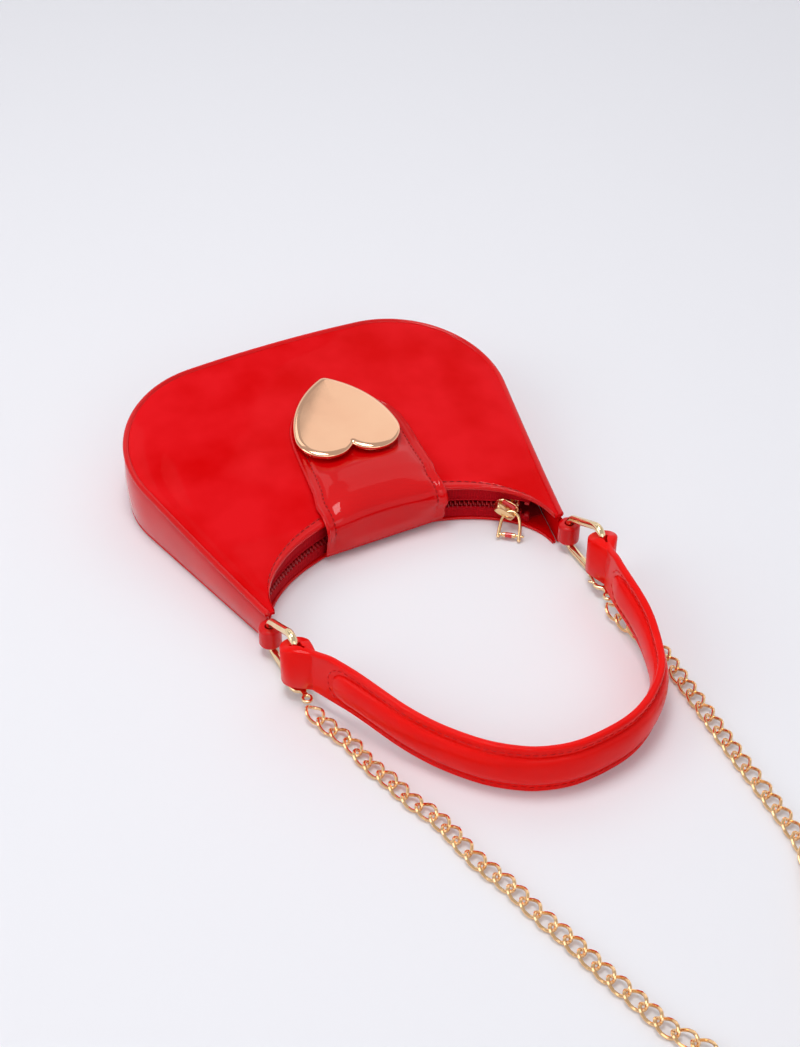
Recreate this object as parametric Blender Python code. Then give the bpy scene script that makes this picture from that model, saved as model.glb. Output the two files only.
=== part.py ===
"""Small glossy handbag lying on its back: body, flap with a heart, zip, rings, handle and chain.

Metres, +Z up. Sizes are given in the bag's own plan: x across it, y from the line of its two
top corners (negative towards the handle, positive towards its base), z up from its back.
"""

import math

import bmesh
import bpy
import numpy as np
from mathutils import Matrix, Vector

# Body
BAG_WIDTH = 0.180
BAG_HEIGHT = 0.147
CORNER_RADIUS = 0.051
BASE_RADIUS = 0.600
SIDE_LEAN = math.radians(12.6)
HORN_DEPTH = 0.0168
BASE_RISE = 0.0203
RISE_POWER_SHARE = 1.3
CROWN = 0.0030
CROWN_SKEW_SHARE = 0.80
PANEL_WALL = 0.0014
GUSSET_WALL = 0.0014
LINING_WALL = 0.0006
LINING_SLACK = 0.0005
PIPING_RADIUS = 0.0014
PANEL_DROP = 0.0009
SEAM_GAP = 0.0003
HORN_WIDTH = 0.0046
HORN_PANEL_SHARE = 0.6
HEM_WIDTH = 0.006
FRONT_MOUTH_DEPTH = 0.0385
MOUTH_STEP = 0.0010

# Zip
ZIP_SAG = 0.0258
ZIP_END_INSET = 0.0024
ZIP_SET = 0.0035
ZIP_Z = 0.009
TAPE_WALL = 0.0008
TOOTH_PITCH = 0.0020
TOOTH_HEIGHT = 0.0015
TOOTH_BITE = 0.0005
TOOTH_DEPTH = 0.0026
ROW_SPREAD = 0.0022
SLIDER_FROM_END = 0.0102
SLIDER_LENGTH = 0.0110
SLIDER_HEIGHT = 0.0090
SLIDER_PLATE = 0.0010
SLIDER_GAP = 0.0004
PLATE_NARROWING_SHARE = 0.28
WEDGE_LENGTH = 0.0040
WEDGE_HEIGHT = 0.0016
BRIDGE_WIDTH = 0.0030
BRIDGE_SPAN = 0.0066
BRIDGE_WALL = 0.0010
BRIDGE_OPENING = 0.0022
BRIDGE_BEND_SHARE = 1.5
ENAMEL_WALL = 0.0005
ENAMEL_MARGIN = 0.0005
PULLER_WIRE = 0.0013
PULLER_WIDTH = 0.0085
PULLER_LENGTH = 0.0105
PULLER_LEAN = math.radians(46)
PULLER_BAR_RADIUS = 0.0009
STOP_LENGTH = 0.0022
STOP_HEIGHT = 0.0033

# Flap
FLAP_CENTRE = 0.002
FLAP_WIDTH_SHARE = 0.3167
FLAP_WALL = 0.0012
FLAP_HINGE_SET = 0.0018
FLAP_ROOT_STEPS = 12
FLAP_HINGE_Z = 0.0044
FLAP_HINGE_GAP = 0.0008
FLAP_LENGTH = 0.062
FLAP_TURN_SHARE = 0.106
FLAP_SKEW_SHARE = -0.15

# Heart and snap
HEART_WIDTH = 0.0473
HEART_LENGTH = 0.0505
HEART_LOBE_RADIUS = 0.0131
HEART_SIDE_RADIUS = 0.0486
HEART_TIP_RADIUS = 0.0035
HEART_X = 0.0056
HEART_Y = 0.0866
HEART_TURN = math.radians(-8.6)
HEART_EDGE = 0.0014
HEART_DOME = 0.0012
HEART_ROUND = 0.0030
SNAP_RADIUS = 0.0050
SNAP_CLEARANCE = 0.0003
SNAP_PLACE_SHARE = 0.68

# Rings, tabs and handle
RING_TAB_Y = -0.0050
RING_PITCH = 0.025
RING_WIRE_RADIUS = 0.0017
RING_LOW_Z = 0.0020
RING_TAB_TOP = 0.0165
RING_LOOP_TOP = 0.0295
RING_BEND = 0.0030
TAB_RADIUS = 0.0047
TAB_BORE_RADIUS = 0.0021
TAB_BOTTOM = 0.0044
TAB_TOP = 0.0138
STRAP_WALL = 0.0030
STRAP_HEIGHT = 0.0225
STRAP_END_HEIGHT = 0.0177
STRAP_END_BOTTOM = 0.0066
STRAP_BOTTOM = 0.0010
HANDLE_REACH = 0.0925
LOOP_RADIUS = 0.0054
LOOP_BORE_RADIUS = 0.0021
LOOP_TAIL = 0.0080
PAD_WALL = 0.0012
PAD_MARGIN = 0.0042
PAD_INSET = 0.0115

# Clasps
CLASP_WALL = 0.0018
CLASP_BOTTOM = 0.0041
CLASP_BAR = 0.0019
CLASP_BORE = 0.0026
CLASP_HOOK = 0.0037
CLASP_NECK = 0.0032
CLASP_EYE_RADIUS = 0.0024
CLASP_EYE_BORE = 0.0011
GATE_LENGTH = 0.0050
GATE_WALL = 0.0014
GATE_GAP = 0.0003
GATE_CUT_OVERLAP = 0.0005
LEFT_CLASP_TURN = math.radians(-95)
RIGHT_CLASP_TURN = math.radians(-106)

# Chain
CHAIN_DIAMETER = 0.004
CHAIN_Z = 0.0025
COIL_RADIUS = 0.036
COIL_PITCH = 0.0076
COIL_LAYER = 0.0046
COIL_TURNS = 3
COIL_X = 0.064
COIL_Y = -0.266

OVERRUN = 0.002
STATIONS = 56
ACROSS = 7

SIDES = {"left": -1, "right": 1}


# Plan curves of the body
def corner_centre():
    """Centre of the right bottom corner's arc, tangent to the base arc inside it."""
    x = BAG_WIDTH / 2 - CORNER_RADIUS
    reach = BASE_RADIUS - CORNER_RADIUS
    return Vector((x, BAG_HEIGHT - BASE_RADIUS + math.sqrt(reach**2 - x**2)))


def side_x(y, inset):
    """Half width of the body along its straight side, at height y down the bag."""
    centre = corner_centre()
    radius = CORNER_RADIUS - inset
    foot = centre + radius * Vector((math.cos(SIDE_LEAN), -math.sin(SIDE_LEAN)))
    return foot.x - (foot.y - y) * math.tan(SIDE_LEAN)


def outline(inset, top_y, count=STATIONS):
    """Points of the U of the body, from its left top corner round the base to the right one."""
    centre = corner_centre()
    radius = CORNER_RADIUS - inset
    base = Vector((0, BAG_HEIGHT - BASE_RADIUS))
    meet = math.atan2(centre.y - base.y, centre.x)
    half = [Vector((side_x(top_y, inset), top_y))]
    corner_steps = count // 4
    for step in range(corner_steps + 1):
        angle = -SIDE_LEAN + (meet + SIDE_LEAN) * step / corner_steps
        half.append(centre + radius * Vector((math.cos(angle), math.sin(angle))))
    base_steps = count // 2 - corner_steps - 1
    for step in range(1, base_steps + 1):
        angle = meet + (math.pi / 2 - meet) * step / base_steps
        half.append(base + (BASE_RADIUS - inset) * Vector((math.cos(angle), math.sin(angle))))
    mirrored = [Vector((-p.x, p.y)) for p in half]
    return mirrored + half[-2::-1]


def mouth(half_width, depth, count):
    """Points of the half ellipse of the mouth, left to right."""
    return [
        Vector((-half_width * math.cos(a), depth * math.sin(a)))
        for a in (math.pi * step / count for step in range(count + 1))
    ]


def zip_arc(radius, half_angle, count):
    """Points along the zip's circle, left to right."""
    turns = (half_angle * (2 * step / count - 1) for step in range(count + 1))
    return [Vector((radius * math.sin(a), ZIP_CENTRE_Y + radius * math.cos(a))) for a in turns]


def mouth_half_width():
    return side_x(0, 0) - HORN_WIDTH


def hem_half_width():
    return mouth_half_width() + (HORN_WIDTH - 2 * PIPING_RADIUS - SEAM_GAP) * HORN_PANEL_SHARE / 2


def mouth_y(x, half_width, depth):
    return depth * math.sqrt(max(0, 1 - (x / half_width) ** 2))


# Places that follow the body
RING_X = side_x(0, 0)
BACK_MOUTH_DEPTH = FRONT_MOUTH_DEPTH + MOUTH_STEP
ZIP_HALF_CHORD = mouth_half_width() - ZIP_END_INSET
ZIP_RADIUS = (ZIP_HALF_CHORD**2 + ZIP_SAG**2) / (2 * ZIP_SAG)
ZIP_HALF_ANGLE = math.asin(ZIP_HALF_CHORD / ZIP_RADIUS)
ZIP_CENTRE_Y = FRONT_MOUTH_DEPTH + ZIP_SET - ZIP_RADIUS
SLIDER_ANGLE = ZIP_HALF_ANGLE - SLIDER_FROM_END / ZIP_RADIUS
FLAP_HALF_WIDTH = FLAP_WIDTH_SHARE * BAG_WIDTH / 2
FLAP_SIDE_X = FLAP_CENTRE + FLAP_HALF_WIDTH
FLAP_HINGE_Y = ZIP_CENTRE_Y + math.sqrt(ZIP_RADIUS**2 - FLAP_SIDE_X**2) - FLAP_HINGE_SET


# Heights of the body
def rim_z(y):
    """Top of the front rim, low at the top corners and high at the base."""
    return HORN_DEPTH + BASE_RISE * (max(y, 0) / BAG_HEIGHT) ** RISE_POWER_SHARE


def front_top(x, y):
    """Outer face of the front panel, gently crowned in the middle."""
    along = min(max((y - FRONT_MOUTH_DEPTH) / (BAG_HEIGHT - FRONT_MOUTH_DEPTH), 0), 1)
    across = max(0, 1 - (2 * x / BAG_WIDTH) ** 2)
    crown = CROWN * math.sin(math.pi * along**CROWN_SKEW_SHARE) * across
    return rim_z(y) - PANEL_DROP + crown


def front_under(x, y):
    return front_top(x, y) - PANEL_WALL


# Mesh helpers
def new_object(name, mesh, pivot=None):
    """Links a mesh whose points are in the bag's plan, with its origin at the pivot."""
    pivot = Vector(pivot or (0, 0, 0))
    mesh.transform(Matrix.Translation(-pivot))
    obj = bpy.data.objects.new(name, mesh)
    obj.location = pivot + Vector((0, SHIFT, 0))
    bpy.context.scene.collection.objects.link(obj)
    return obj


def finish_mesh(bm, name, pivot=None):
    bmesh.ops.recalc_face_normals(bm, faces=bm.faces)
    mesh = bpy.data.meshes.new(name)
    bm.to_mesh(mesh)
    bm.free()
    mesh.shade_smooth()
    mesh.set_sharp_from_angle(angle=math.radians(35))
    return new_object(name, mesh, pivot)


def grid_solid(name, top, bottom, pivot=None):
    """Closed solid between two grids of points, rows by columns."""
    bm = bmesh.new()
    layers = [[[bm.verts.new(p) for p in row] for row in grid] for grid in (top, bottom)]
    rows = len(top)
    cols = len(top[0])
    for grid in layers:
        for r in range(rows - 1):
            for c in range(cols - 1):
                bm.faces.new((grid[r][c], grid[r][c + 1], grid[r + 1][c + 1], grid[r + 1][c]))
    edge = [(0, c) for c in range(cols)] + [(r, cols - 1) for r in range(1, rows)]
    edge += [(rows - 1, c) for c in range(cols - 2, -1, -1)] + [(r, 0) for r in range(rows - 2, 0, -1)]
    for here, after in zip(edge, edge[1:] + edge[:1]):
        up = [layers[0][r][c] for r, c in (here, after)]
        down = [layers[1][r][c] for r, c in (after, here)]
        bm.faces.new(up + down)
    return finish_mesh(bm, name, pivot)


def ring_solid(name, rings, pivot=None):
    """Closed solid through rings of points, capped at the first and the last ring."""
    bm = bmesh.new()
    made = [[bm.verts.new(p) for p in ring] for ring in rings]
    for upper, lower in zip(made, made[1:]):
        for i in range(len(upper)):
            j = (i + 1) % len(upper)
            bm.faces.new((upper[i], upper[j], lower[j], lower[i]))
    bm.faces.new(made[0])
    bm.faces.new(made[-1])
    return finish_mesh(bm, name, pivot)


def circle(centre, radius, count):
    turns = (2 * math.pi * step / count for step in range(count))
    return [Vector((centre[0] + radius * math.cos(a), centre[1] + radius * math.sin(a))) for a in turns]


def prism(name, points, low, high, pivot=None):
    """Upright solid over a closed plan outline."""
    return ring_solid(name, [[(p[0], p[1], z) for p in points] for z in (high, low)], pivot)


def cutter_of(obj):
    obj.hide_render = True
    obj.display_type = "WIRE"
    return obj


def cut(obj, cutter, operation="DIFFERENCE", solver="EXACT"):
    cutter_of(cutter)
    modifier = obj.modifiers.new(cutter.name, "BOOLEAN")
    modifier.operation = operation
    modifier.object = cutter
    modifier.solver = solver
    return obj


def tube(name, points, radius, cyclic=False, resolution=2, pivot=None):
    """Round bar along a line of points."""
    pivot = Vector(pivot or (0, 0, 0))
    data = bpy.data.curves.new(name, "CURVE")
    data.dimensions = "3D"
    data.bevel_depth = radius
    data.bevel_resolution = resolution
    data.use_fill_caps = not cyclic
    spline = data.splines.new("POLY")
    spline.points.add(len(points) - 1)
    for knot, point in zip(spline.points, points):
        knot.co = (*(Vector(point) - pivot), 1)
    spline.use_cyclic_u = cyclic
    obj = bpy.data.objects.new(name, data)
    obj.location = pivot + Vector((0, SHIFT, 0))
    bpy.context.scene.collection.objects.link(obj)
    return obj


def paint(objects, name, colour, roughness, metallic=0.0):
    """One material of its own for each object."""
    for obj in objects:
        material = bpy.data.materials.new(f"{name}_{obj.name}")
        material.use_nodes = True
        shader = material.node_tree.nodes["Principled BSDF"]
        shader.inputs["Base Color"].default_value = (*colour, 1)
        shader.inputs["Roughness"].default_value = roughness
        shader.inputs["Metallic"].default_value = metallic
        obj.data.materials.append(material)


def smooth_line(points, spacing):
    """Catmull-Rom curve through points, read every spacing."""
    knots = [Vector(p) for p in points]
    ends = [2 * knots[0] - knots[1]] + knots + [2 * knots[-1] - knots[-2]]
    dense = []
    for a, b, c, d in zip(ends, ends[1:], ends[2:], ends[3:]):
        for t in np.linspace(0, 1, 24, endpoint=False):
            cubic = (2 * b) + (c - a) * t + (2 * a - 5 * b + 4 * c - d) * t**2
            dense.append((cubic + (3 * b - a - 3 * c + d) * t**3) / 2)
    dense.append(knots[-1])
    lengths = np.cumsum([0] + [(q - p).length for p, q in zip(dense, dense[1:])])
    steps = max(2, round(lengths[-1] / spacing))
    wanted = np.linspace(0, lengths[-1], steps + 1)
    columns = [np.interp(wanted, lengths, [p[k] for p in dense]) for k in range(len(dense[0]))]
    return [Vector(p) for p in zip(*columns)]


def handle_front_y():
    return RING_TAB_Y - RING_PITCH - HANDLE_REACH


HANDLE_EDGE = STRAP_WALL / 2 + SEAM_GAP + PAD_WALL
SHIFT = -(BAG_HEIGHT + handle_front_y() - HANDLE_EDGE) / 2


# Body shell
def horseshoe(name, inner, outer, top, under):
    """Panel between an inner line and an outer one, with its two faces as height functions."""
    rows_top = []
    rows_under = []
    for a, b in zip(inner, outer):
        places = [a.lerp(b, step / (ACROSS - 1)) for step in range(ACROSS)]
        rows_top.append([(p.x, p.y, top(p.x, p.y)) for p in places])
        rows_under.append([(p.x, p.y, under(p.x, p.y)) for p in places])
    return grid_solid(name, rows_top, rows_under)


def wall(name, outer, inner, low, high):
    """Upright wall between two lines, with its edges as height functions."""
    tops = [[(p.x, p.y, high(p.x, p.y)) for p in pair] for pair in zip(outer, inner)]
    lows = [[(p.x, p.y, low(p.x, p.y)) for p in pair] for pair in zip(outer, inner)]
    return grid_solid(name, tops, lows)


def level(z):
    return lambda x, y: z


def panel_inset():
    return 2 * PIPING_RADIUS + SEAM_GAP


def build_panels():
    outer = outline(panel_inset(), 0)
    count = len(outer) - 1
    hem_end = HEM_WIDTH + SEAM_GAP
    step = SEAM_GAP / 2
    front_inner = mouth(hem_half_width() + step, FRONT_MOUTH_DEPTH + hem_end, count)
    back_inner = mouth(hem_half_width() + step, BACK_MOUTH_DEPTH + hem_end, count)
    front = horseshoe("front_panel", front_inner, outer, front_top, front_under)
    back = horseshoe("back_panel", back_inner, outer, level(PANEL_WALL), level(0))
    hole = prism("snap_hole", circle(snap_place(), SNAP_RADIUS + SNAP_CLEARANCE, 28), HORN_DEPTH / 2,
                 rim_z(BAG_HEIGHT) + CROWN)
    cut(front, hole)
    return [front, back]


def build_hems():
    made = []
    count = STATIONS
    for name, depth, top, under in (
        ("front_mouth_binding", FRONT_MOUTH_DEPTH, front_top, front_under),
        ("back_mouth_binding", BACK_MOUTH_DEPTH, level(PANEL_WALL), level(0)),
    ):
        inner = mouth(mouth_half_width(), depth, count)
        outer = mouth(hem_half_width() - SEAM_GAP / 2, depth + HEM_WIDTH, count)
        made.append(horseshoe(name, inner, outer, top, under))
    return made


def gusset_inset():
    return PIPING_RADIUS - GUSSET_WALL / 2


def back_seam_z():
    return 2 * PIPING_RADIUS + 2 * SEAM_GAP


def gusset_top(x, y):
    return rim_z(y) - 2 * PIPING_RADIUS - SEAM_GAP


def build_gusset():
    inset = gusset_inset()
    return [wall("gusset", outline(inset, 0), outline(inset + GUSSET_WALL, 0), level(back_seam_z()),
                 gusset_top)]


def build_piping():
    line = outline(PIPING_RADIUS, 0)
    back = [(p.x, p.y, PIPING_RADIUS + SEAM_GAP) for p in line]
    front = [(p.x, p.y, rim_z(p.y) - PIPING_RADIUS) for p in line]
    return [tube("back_piping", back, PIPING_RADIUS), tube("front_piping", front, PIPING_RADIUS)]


def build_linings():
    """Thin inner skin of both panels and the gusset, beyond the zip."""
    radius = ZIP_RADIUS + TOOTH_DEPTH / 2 + SEAM_GAP
    top_y = ZIP_CENTRE_Y + radius * math.cos(ZIP_HALF_ANGLE)
    inset = panel_inset() + LINING_WALL + SEAM_GAP
    outer = outline(inset, top_y)
    inner = zip_arc(radius, ZIP_HALF_ANGLE, len(outer) - 1)
    wall_inset = gusset_inset() + GUSSET_WALL + SEAM_GAP

    def under_front(x, y):
        return front_under(x, y) - SEAM_GAP - LINING_SLACK

    def deep_front(x, y):
        return under_front(x, y) - LINING_WALL

    def wall_top(x, y):
        return gusset_top(x, y) - SEAM_GAP

    low = PANEL_WALL + SEAM_GAP
    return [
        horseshoe("lining_front", inner, outer, under_front, deep_front),
        horseshoe("lining_back", inner, outer, level(low + LINING_WALL), level(low)),
        wall("lining_gusset", outline(wall_inset, top_y), outline(wall_inset + LINING_WALL, top_y),
             level(back_seam_z()), wall_top),
    ]


# Zip
def arc_bar(name, radius, depth, angles, low, high, pivot=None):
    """Upright bar along the zip's circle, with its edges as functions of the angle."""
    tops = []
    lows = []
    for angle in angles:
        ends = [radius - depth / 2, radius + depth / 2]
        places = [(r * math.sin(angle), ZIP_CENTRE_Y + r * math.cos(angle)) for r in ends]
        tops.append([(x, y, high(angle, y)) for x, y in places])
        lows.append([(x, y, low(angle, y)) for x, y in places])
    return grid_solid(name, tops, lows, pivot)


def spread(angle):
    """Half the gap between the two rows of teeth: closed left of the slider, open right of it."""
    ramp = SLIDER_LENGTH / ZIP_RADIUS / 2
    share = min(max((angle - SLIDER_ANGLE + ramp) / ramp, 0), 1)
    return SEAM_GAP / 2 + ROW_SPREAD * share * share * (3 - 2 * share)


def build_teeth():
    ends = ZIP_HALF_ANGLE - STOP_LENGTH / ZIP_RADIUS - SEAM_GAP / ZIP_RADIUS
    count = 2 * round(ends * ZIP_RADIUS / TOOTH_PITCH)
    angles = [ends * (2 * step / count - 1) for step in range(count + 1)]
    parity = {angle: step % 2 for step, angle in enumerate(angles)}

    def front_low(angle, y):
        return ZIP_Z + spread(angle) + TOOTH_BITE * parity[angle]

    def front_high(angle, y):
        return ZIP_Z + spread(angle) + TOOTH_HEIGHT

    def back_low(angle, y):
        return ZIP_Z - spread(angle) - TOOTH_HEIGHT

    def back_high(angle, y):
        return ZIP_Z - spread(angle) - TOOTH_BITE * (1 - parity[angle])

    return [
        arc_bar("zip_teeth_front", ZIP_RADIUS, TOOTH_DEPTH, angles, front_low, front_high),
        arc_bar("zip_teeth_back", ZIP_RADIUS, TOOTH_DEPTH, angles, back_low, back_high),
    ]


def build_tapes():
    count = STATIONS
    angles = [ZIP_HALF_ANGLE * (2 * step / count - 1) for step in range(count + 1)]
    reach = TOOTH_HEIGHT + SEAM_GAP

    def front_low(angle, y):
        return ZIP_Z + spread(angle) + reach

    def front_high(angle, y):
        return front_under(ZIP_RADIUS * math.sin(angle), y) - SEAM_GAP

    def back_high(angle, y):
        return ZIP_Z - spread(angle) - reach

    def back_low(angle, y):
        return PANEL_WALL + SEAM_GAP

    return [
        arc_bar("zip_tape_front", ZIP_RADIUS, TAPE_WALL, angles, front_low, front_high),
        arc_bar("zip_tape_back", ZIP_RADIUS, TAPE_WALL, angles, back_low, back_high),
    ]


def build_stops():
    made = []
    reach = STOP_LENGTH / ZIP_RADIUS
    start = ZIP_HALF_ANGLE - reach
    rows = (
        ("zip_stop_left", -start - reach, 0, STOP_HEIGHT / 2),
        ("zip_stop_right_front", start, ROW_SPREAD + SEAM_GAP, TOOTH_HEIGHT),
        ("zip_stop_right_back", start, -ROW_SPREAD - SEAM_GAP - TOOTH_HEIGHT, TOOTH_HEIGHT),
    )
    for name, angle, low, height in rows:
        if not low:
            low = -height
            height *= 2
        base = ZIP_Z + low
        angles = [angle, angle + reach / 2, angle + reach]
        depth = TOOTH_DEPTH + SEAM_GAP
        made.append(arc_bar(name, ZIP_RADIUS, depth, angles, stop_edge(base), stop_edge(base + height)))
    return made


def stop_edge(z):
    return lambda angle, y: z


# Slider and puller
def zip_frame(angle):
    """Tangent and outward directions at an angle of the zip, in plan."""
    tangent = Vector((math.cos(angle), -math.sin(angle), 0))
    outward = Vector((-math.sin(angle), -math.cos(angle), 0))
    return tangent, outward


def slider_face():
    """Centre of the slider's visible plate face."""
    tangent, outward = zip_frame(SLIDER_ANGLE)
    radius = ZIP_RADIUS - TOOTH_DEPTH / 2 - SLIDER_GAP - SLIDER_PLATE
    return Vector((0, ZIP_CENTRE_Y, ZIP_Z)) - outward * radius


def zip_pivot():
    return (0, ZIP_CENTRE_Y, ZIP_Z)


def plate_edge(sign):
    half = SLIDER_LENGTH / ZIP_RADIUS / 2

    def edge(angle, y):
        share = (angle - SLIDER_ANGLE) / half
        return ZIP_Z + sign * SLIDER_HEIGHT / 2 * (1 - PLATE_NARROWING_SHARE * share**4)

    return edge


def build_slider():
    half = SLIDER_LENGTH / ZIP_RADIUS / 2
    angles = [SLIDER_ANGLE + half * share for share in np.linspace(-1, 1, 9)]
    offset = TOOTH_DEPTH / 2 + SLIDER_GAP + SLIDER_PLATE / 2
    low = plate_edge(-1)
    high = plate_edge(1)
    body = arc_bar("slider_body", ZIP_RADIUS - offset, SLIDER_PLATE, angles, low, high, zip_pivot())
    rear = arc_bar("slider_rear", ZIP_RADIUS + offset, SLIDER_PLATE, angles, low, high)
    wedge_end = SLIDER_ANGLE + WEDGE_LENGTH / ZIP_RADIUS
    wedge_angles = [SLIDER_ANGLE, (SLIDER_ANGLE + wedge_end) / 2, wedge_end]
    wedge = arc_bar("slider_wedge", ZIP_RADIUS, 2 * offset, wedge_angles,
                    stop_edge(ZIP_Z - WEDGE_HEIGHT / 2), stop_edge(ZIP_Z + WEDGE_HEIGHT / 2))
    cut(body, wedge, "UNION", "MANIFOLD")
    cut(body, rear, "UNION", "MANIFOLD")
    return body


def on_slider(along, out, up):
    """A place given from the middle of the slider's visible face."""
    tangent, outward = zip_frame(SLIDER_ANGLE)
    return slider_face() + tangent * along + outward * out + Vector((0, 0, up))


def build_bridge():
    reach = SEAM_GAP + BRIDGE_OPENING + BRIDGE_WALL
    half = BRIDGE_SPAN / 2
    bend = BRIDGE_WALL
    inner_bend = bend * BRIDGE_BEND_SHARE
    outer = [(-half, SEAM_GAP), (-half, reach - bend), (-half + bend, reach)]
    inner = [(-half + bend, SEAM_GAP), (-half + bend, reach - bend), (-half + inner_bend, reach - bend)]
    outer += [(-up, out) for up, out in outer[::-1]]
    inner += [(-up, out) for up, out in inner[::-1]]
    faces = []
    for along in (BRIDGE_WIDTH / 2, -BRIDGE_WIDTH / 2):
        faces.append([[on_slider(along, out, up) for up, out in pair] for pair in zip(outer, inner)])
    return grid_solid("slider_bridge", faces[0], faces[1], zip_pivot())


def build_enamel():
    low = 2 * SEAM_GAP + BRIDGE_OPENING + BRIDGE_WALL
    half_up = BRIDGE_SPAN / 2 - BRIDGE_WALL - ENAMEL_MARGIN
    half_along = BRIDGE_WIDTH / 2 - ENAMEL_MARGIN
    layers = []
    for out in (low + ENAMEL_WALL, low):
        layers.append([[on_slider(a, out, u) for u in (-half_up, half_up)] for a in (-half_along, half_along)])
    return grid_solid("slider_enamel", layers[0], layers[1], zip_pivot())


def rounded_loop(corners, bend, steps=4):
    """Closed line through corners, each turned by an arc of one radius."""
    points = []
    count = len(corners)
    for i, corner in enumerate(corners):
        before = (corners[i - 1] - corner).normalized()
        after = (corners[(i + 1) % count] - corner).normalized()
        half = before.angle(after) / 2
        centre = corner + (before + after).normalized() * bend / math.sin(half)
        start = corner + before * bend / math.tan(half)
        end = corner + after * bend / math.tan(half)
        for step in range(steps + 1):
            point = start.lerp(end, step / steps)
            points.append(centre + (point - centre).normalized() * bend)
    return points


def puller_pivot():
    return on_slider(0, (SEAM_GAP + BRIDGE_OPENING) / 2, 0)


def build_puller():
    tangent, outward = zip_frame(SLIDER_ANGLE)
    drop = outward * math.sin(PULLER_LEAN) - Vector((0, 0, math.cos(PULLER_LEAN)))
    start = puller_pivot()
    half = PULLER_WIDTH / 2
    ends = [start - tangent * half, start + tangent * half]
    corners = [ends[0], ends[1], ends[1] + drop * PULLER_LENGTH, ends[0] + drop * PULLER_LENGTH]
    yoke = tube("puller_yoke", rounded_loop(corners, PULLER_WIRE), PULLER_WIRE / 2, True, 1, start)
    middle = start + drop * (PULLER_LENGTH + PULLER_WIRE / 2 + SEAM_GAP + PULLER_BAR_RADIUS)
    bar_ends = [middle - tangent * half, middle + tangent * (half + PULLER_WIRE)]
    bar = tube("puller_bar", bar_ends, PULLER_BAR_RADIUS, False, 2, start)
    return [yoke, bar]


# Flap, snap and heart
FLAP_ROW_SHARES = (
    (0.07, 1.0), (0.2, 0.99), (0.35, 0.97), (0.5, 0.955), (0.63, 0.94),
    (0.74, 0.9), (0.83, 0.81), (0.9, 0.68), (0.96, 0.5), (1.0, 0.26),
)
FLAP_CLIMB_SHARES = (0.35, 0.7, 1.0)
FLAP_ACROSS = 8
FLAP_TURN_HEIGHT_SHARE = 0.75
FLAP_TURN_BACK_SHARE = 1.3


def flap_edge_y(x):
    return mouth_y(x, mouth_half_width(), FRONT_MOUTH_DEPTH)


def flap_place(share, width_share, across):
    """Plan place on the lying part of the flap, across from -1 to 1."""
    centre = FLAP_CENTRE + FLAP_TURN_SHARE * share * FLAP_LENGTH
    x = centre + across * width_share * FLAP_HALF_WIDTH
    start = flap_edge_y(x)
    end = FRONT_MOUTH_DEPTH + FLAP_LENGTH
    return x, start * (1 - share) + end * share + FLAP_SKEW_SHARE * share * (x - centre)


def flap_face(lift, side):
    """One face of the flap: side is 1 for the face seen and 0 for the one against the bag."""
    rows = []
    spans = [2 * step / FLAP_ACROSS - 1 for step in range(FLAP_ACROSS + 1)]
    band = [(FLAP_CENTRE + across * FLAP_HALF_WIDTH) for across in spans]
    hinge_y = FLAP_HINGE_Y + FLAP_WALL * (0.5 - side)
    rows.append([(x, hinge_y, FLAP_HINGE_Z + FLAP_HINGE_GAP) for x in band])
    for climb in FLAP_CLIMB_SHARES:
        row = []
        for x in band:
            edge = flap_edge_y(x) - SEAM_GAP - side * FLAP_WALL
            high = front_top(x, flap_edge_y(x)) + SEAM_GAP
            low = FLAP_HINGE_Z + FLAP_HINGE_GAP
            row.append((x, hinge_y + (edge - hinge_y) * climb, low + (high - low) * climb))
        rows.append(row)
    turn = []
    for x in band:
        y = flap_edge_y(x) + FLAP_WALL * (1 - FLAP_TURN_BACK_SHARE * side)
        turn.append((x, y, front_top(x, y) + SEAM_GAP + side * FLAP_WALL * FLAP_TURN_HEIGHT_SHARE))
    rows.append(turn)
    for share, width_share in FLAP_ROW_SHARES:
        row = []
        for across in spans:
            x, y = flap_place(share, width_share, across)
            row.append((x, y, front_top(x, y) + SEAM_GAP + lift))
        rows.append(row)
    return rows


def flap_pivot():
    return (FLAP_CENTRE, FLAP_HINGE_Y, FLAP_HINGE_Z)


def snap_place():
    return (HEART_X, FRONT_MOUTH_DEPTH + SNAP_PLACE_SHARE * FLAP_LENGTH)


def patch(name, radius, top, under, pivot=None):
    ring = circle(snap_place(), radius, 24)
    layers = [[(p.x, p.y, face(p.x, p.y)) for p in ring] for face in (top, under)]
    return ring_solid(name, layers, pivot)


def flap_top(x, y):
    return front_top(x, y) + SEAM_GAP + FLAP_WALL


def flap_under(x, y):
    return front_top(x, y) + SEAM_GAP


def build_flap():
    seen = flap_face(FLAP_WALL, 1)
    hidden = flap_face(0, 0)
    flap = grid_solid("flap", seen, hidden, flap_pivot())
    hole = prism("stud_hole", circle(snap_place(), SNAP_RADIUS, 24), rim_z(0), rim_z(BAG_HEIGHT) + CROWN)
    cut(flap, hole)
    return flap


def foot_end_y(x):
    """Rear edge of the flap's foot, which stops short of the zip's tape."""
    radius = ZIP_RADIUS - TAPE_WALL / 2 - SEAM_GAP
    return ZIP_CENTRE_Y + math.sqrt(radius**2 - x**2)


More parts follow.
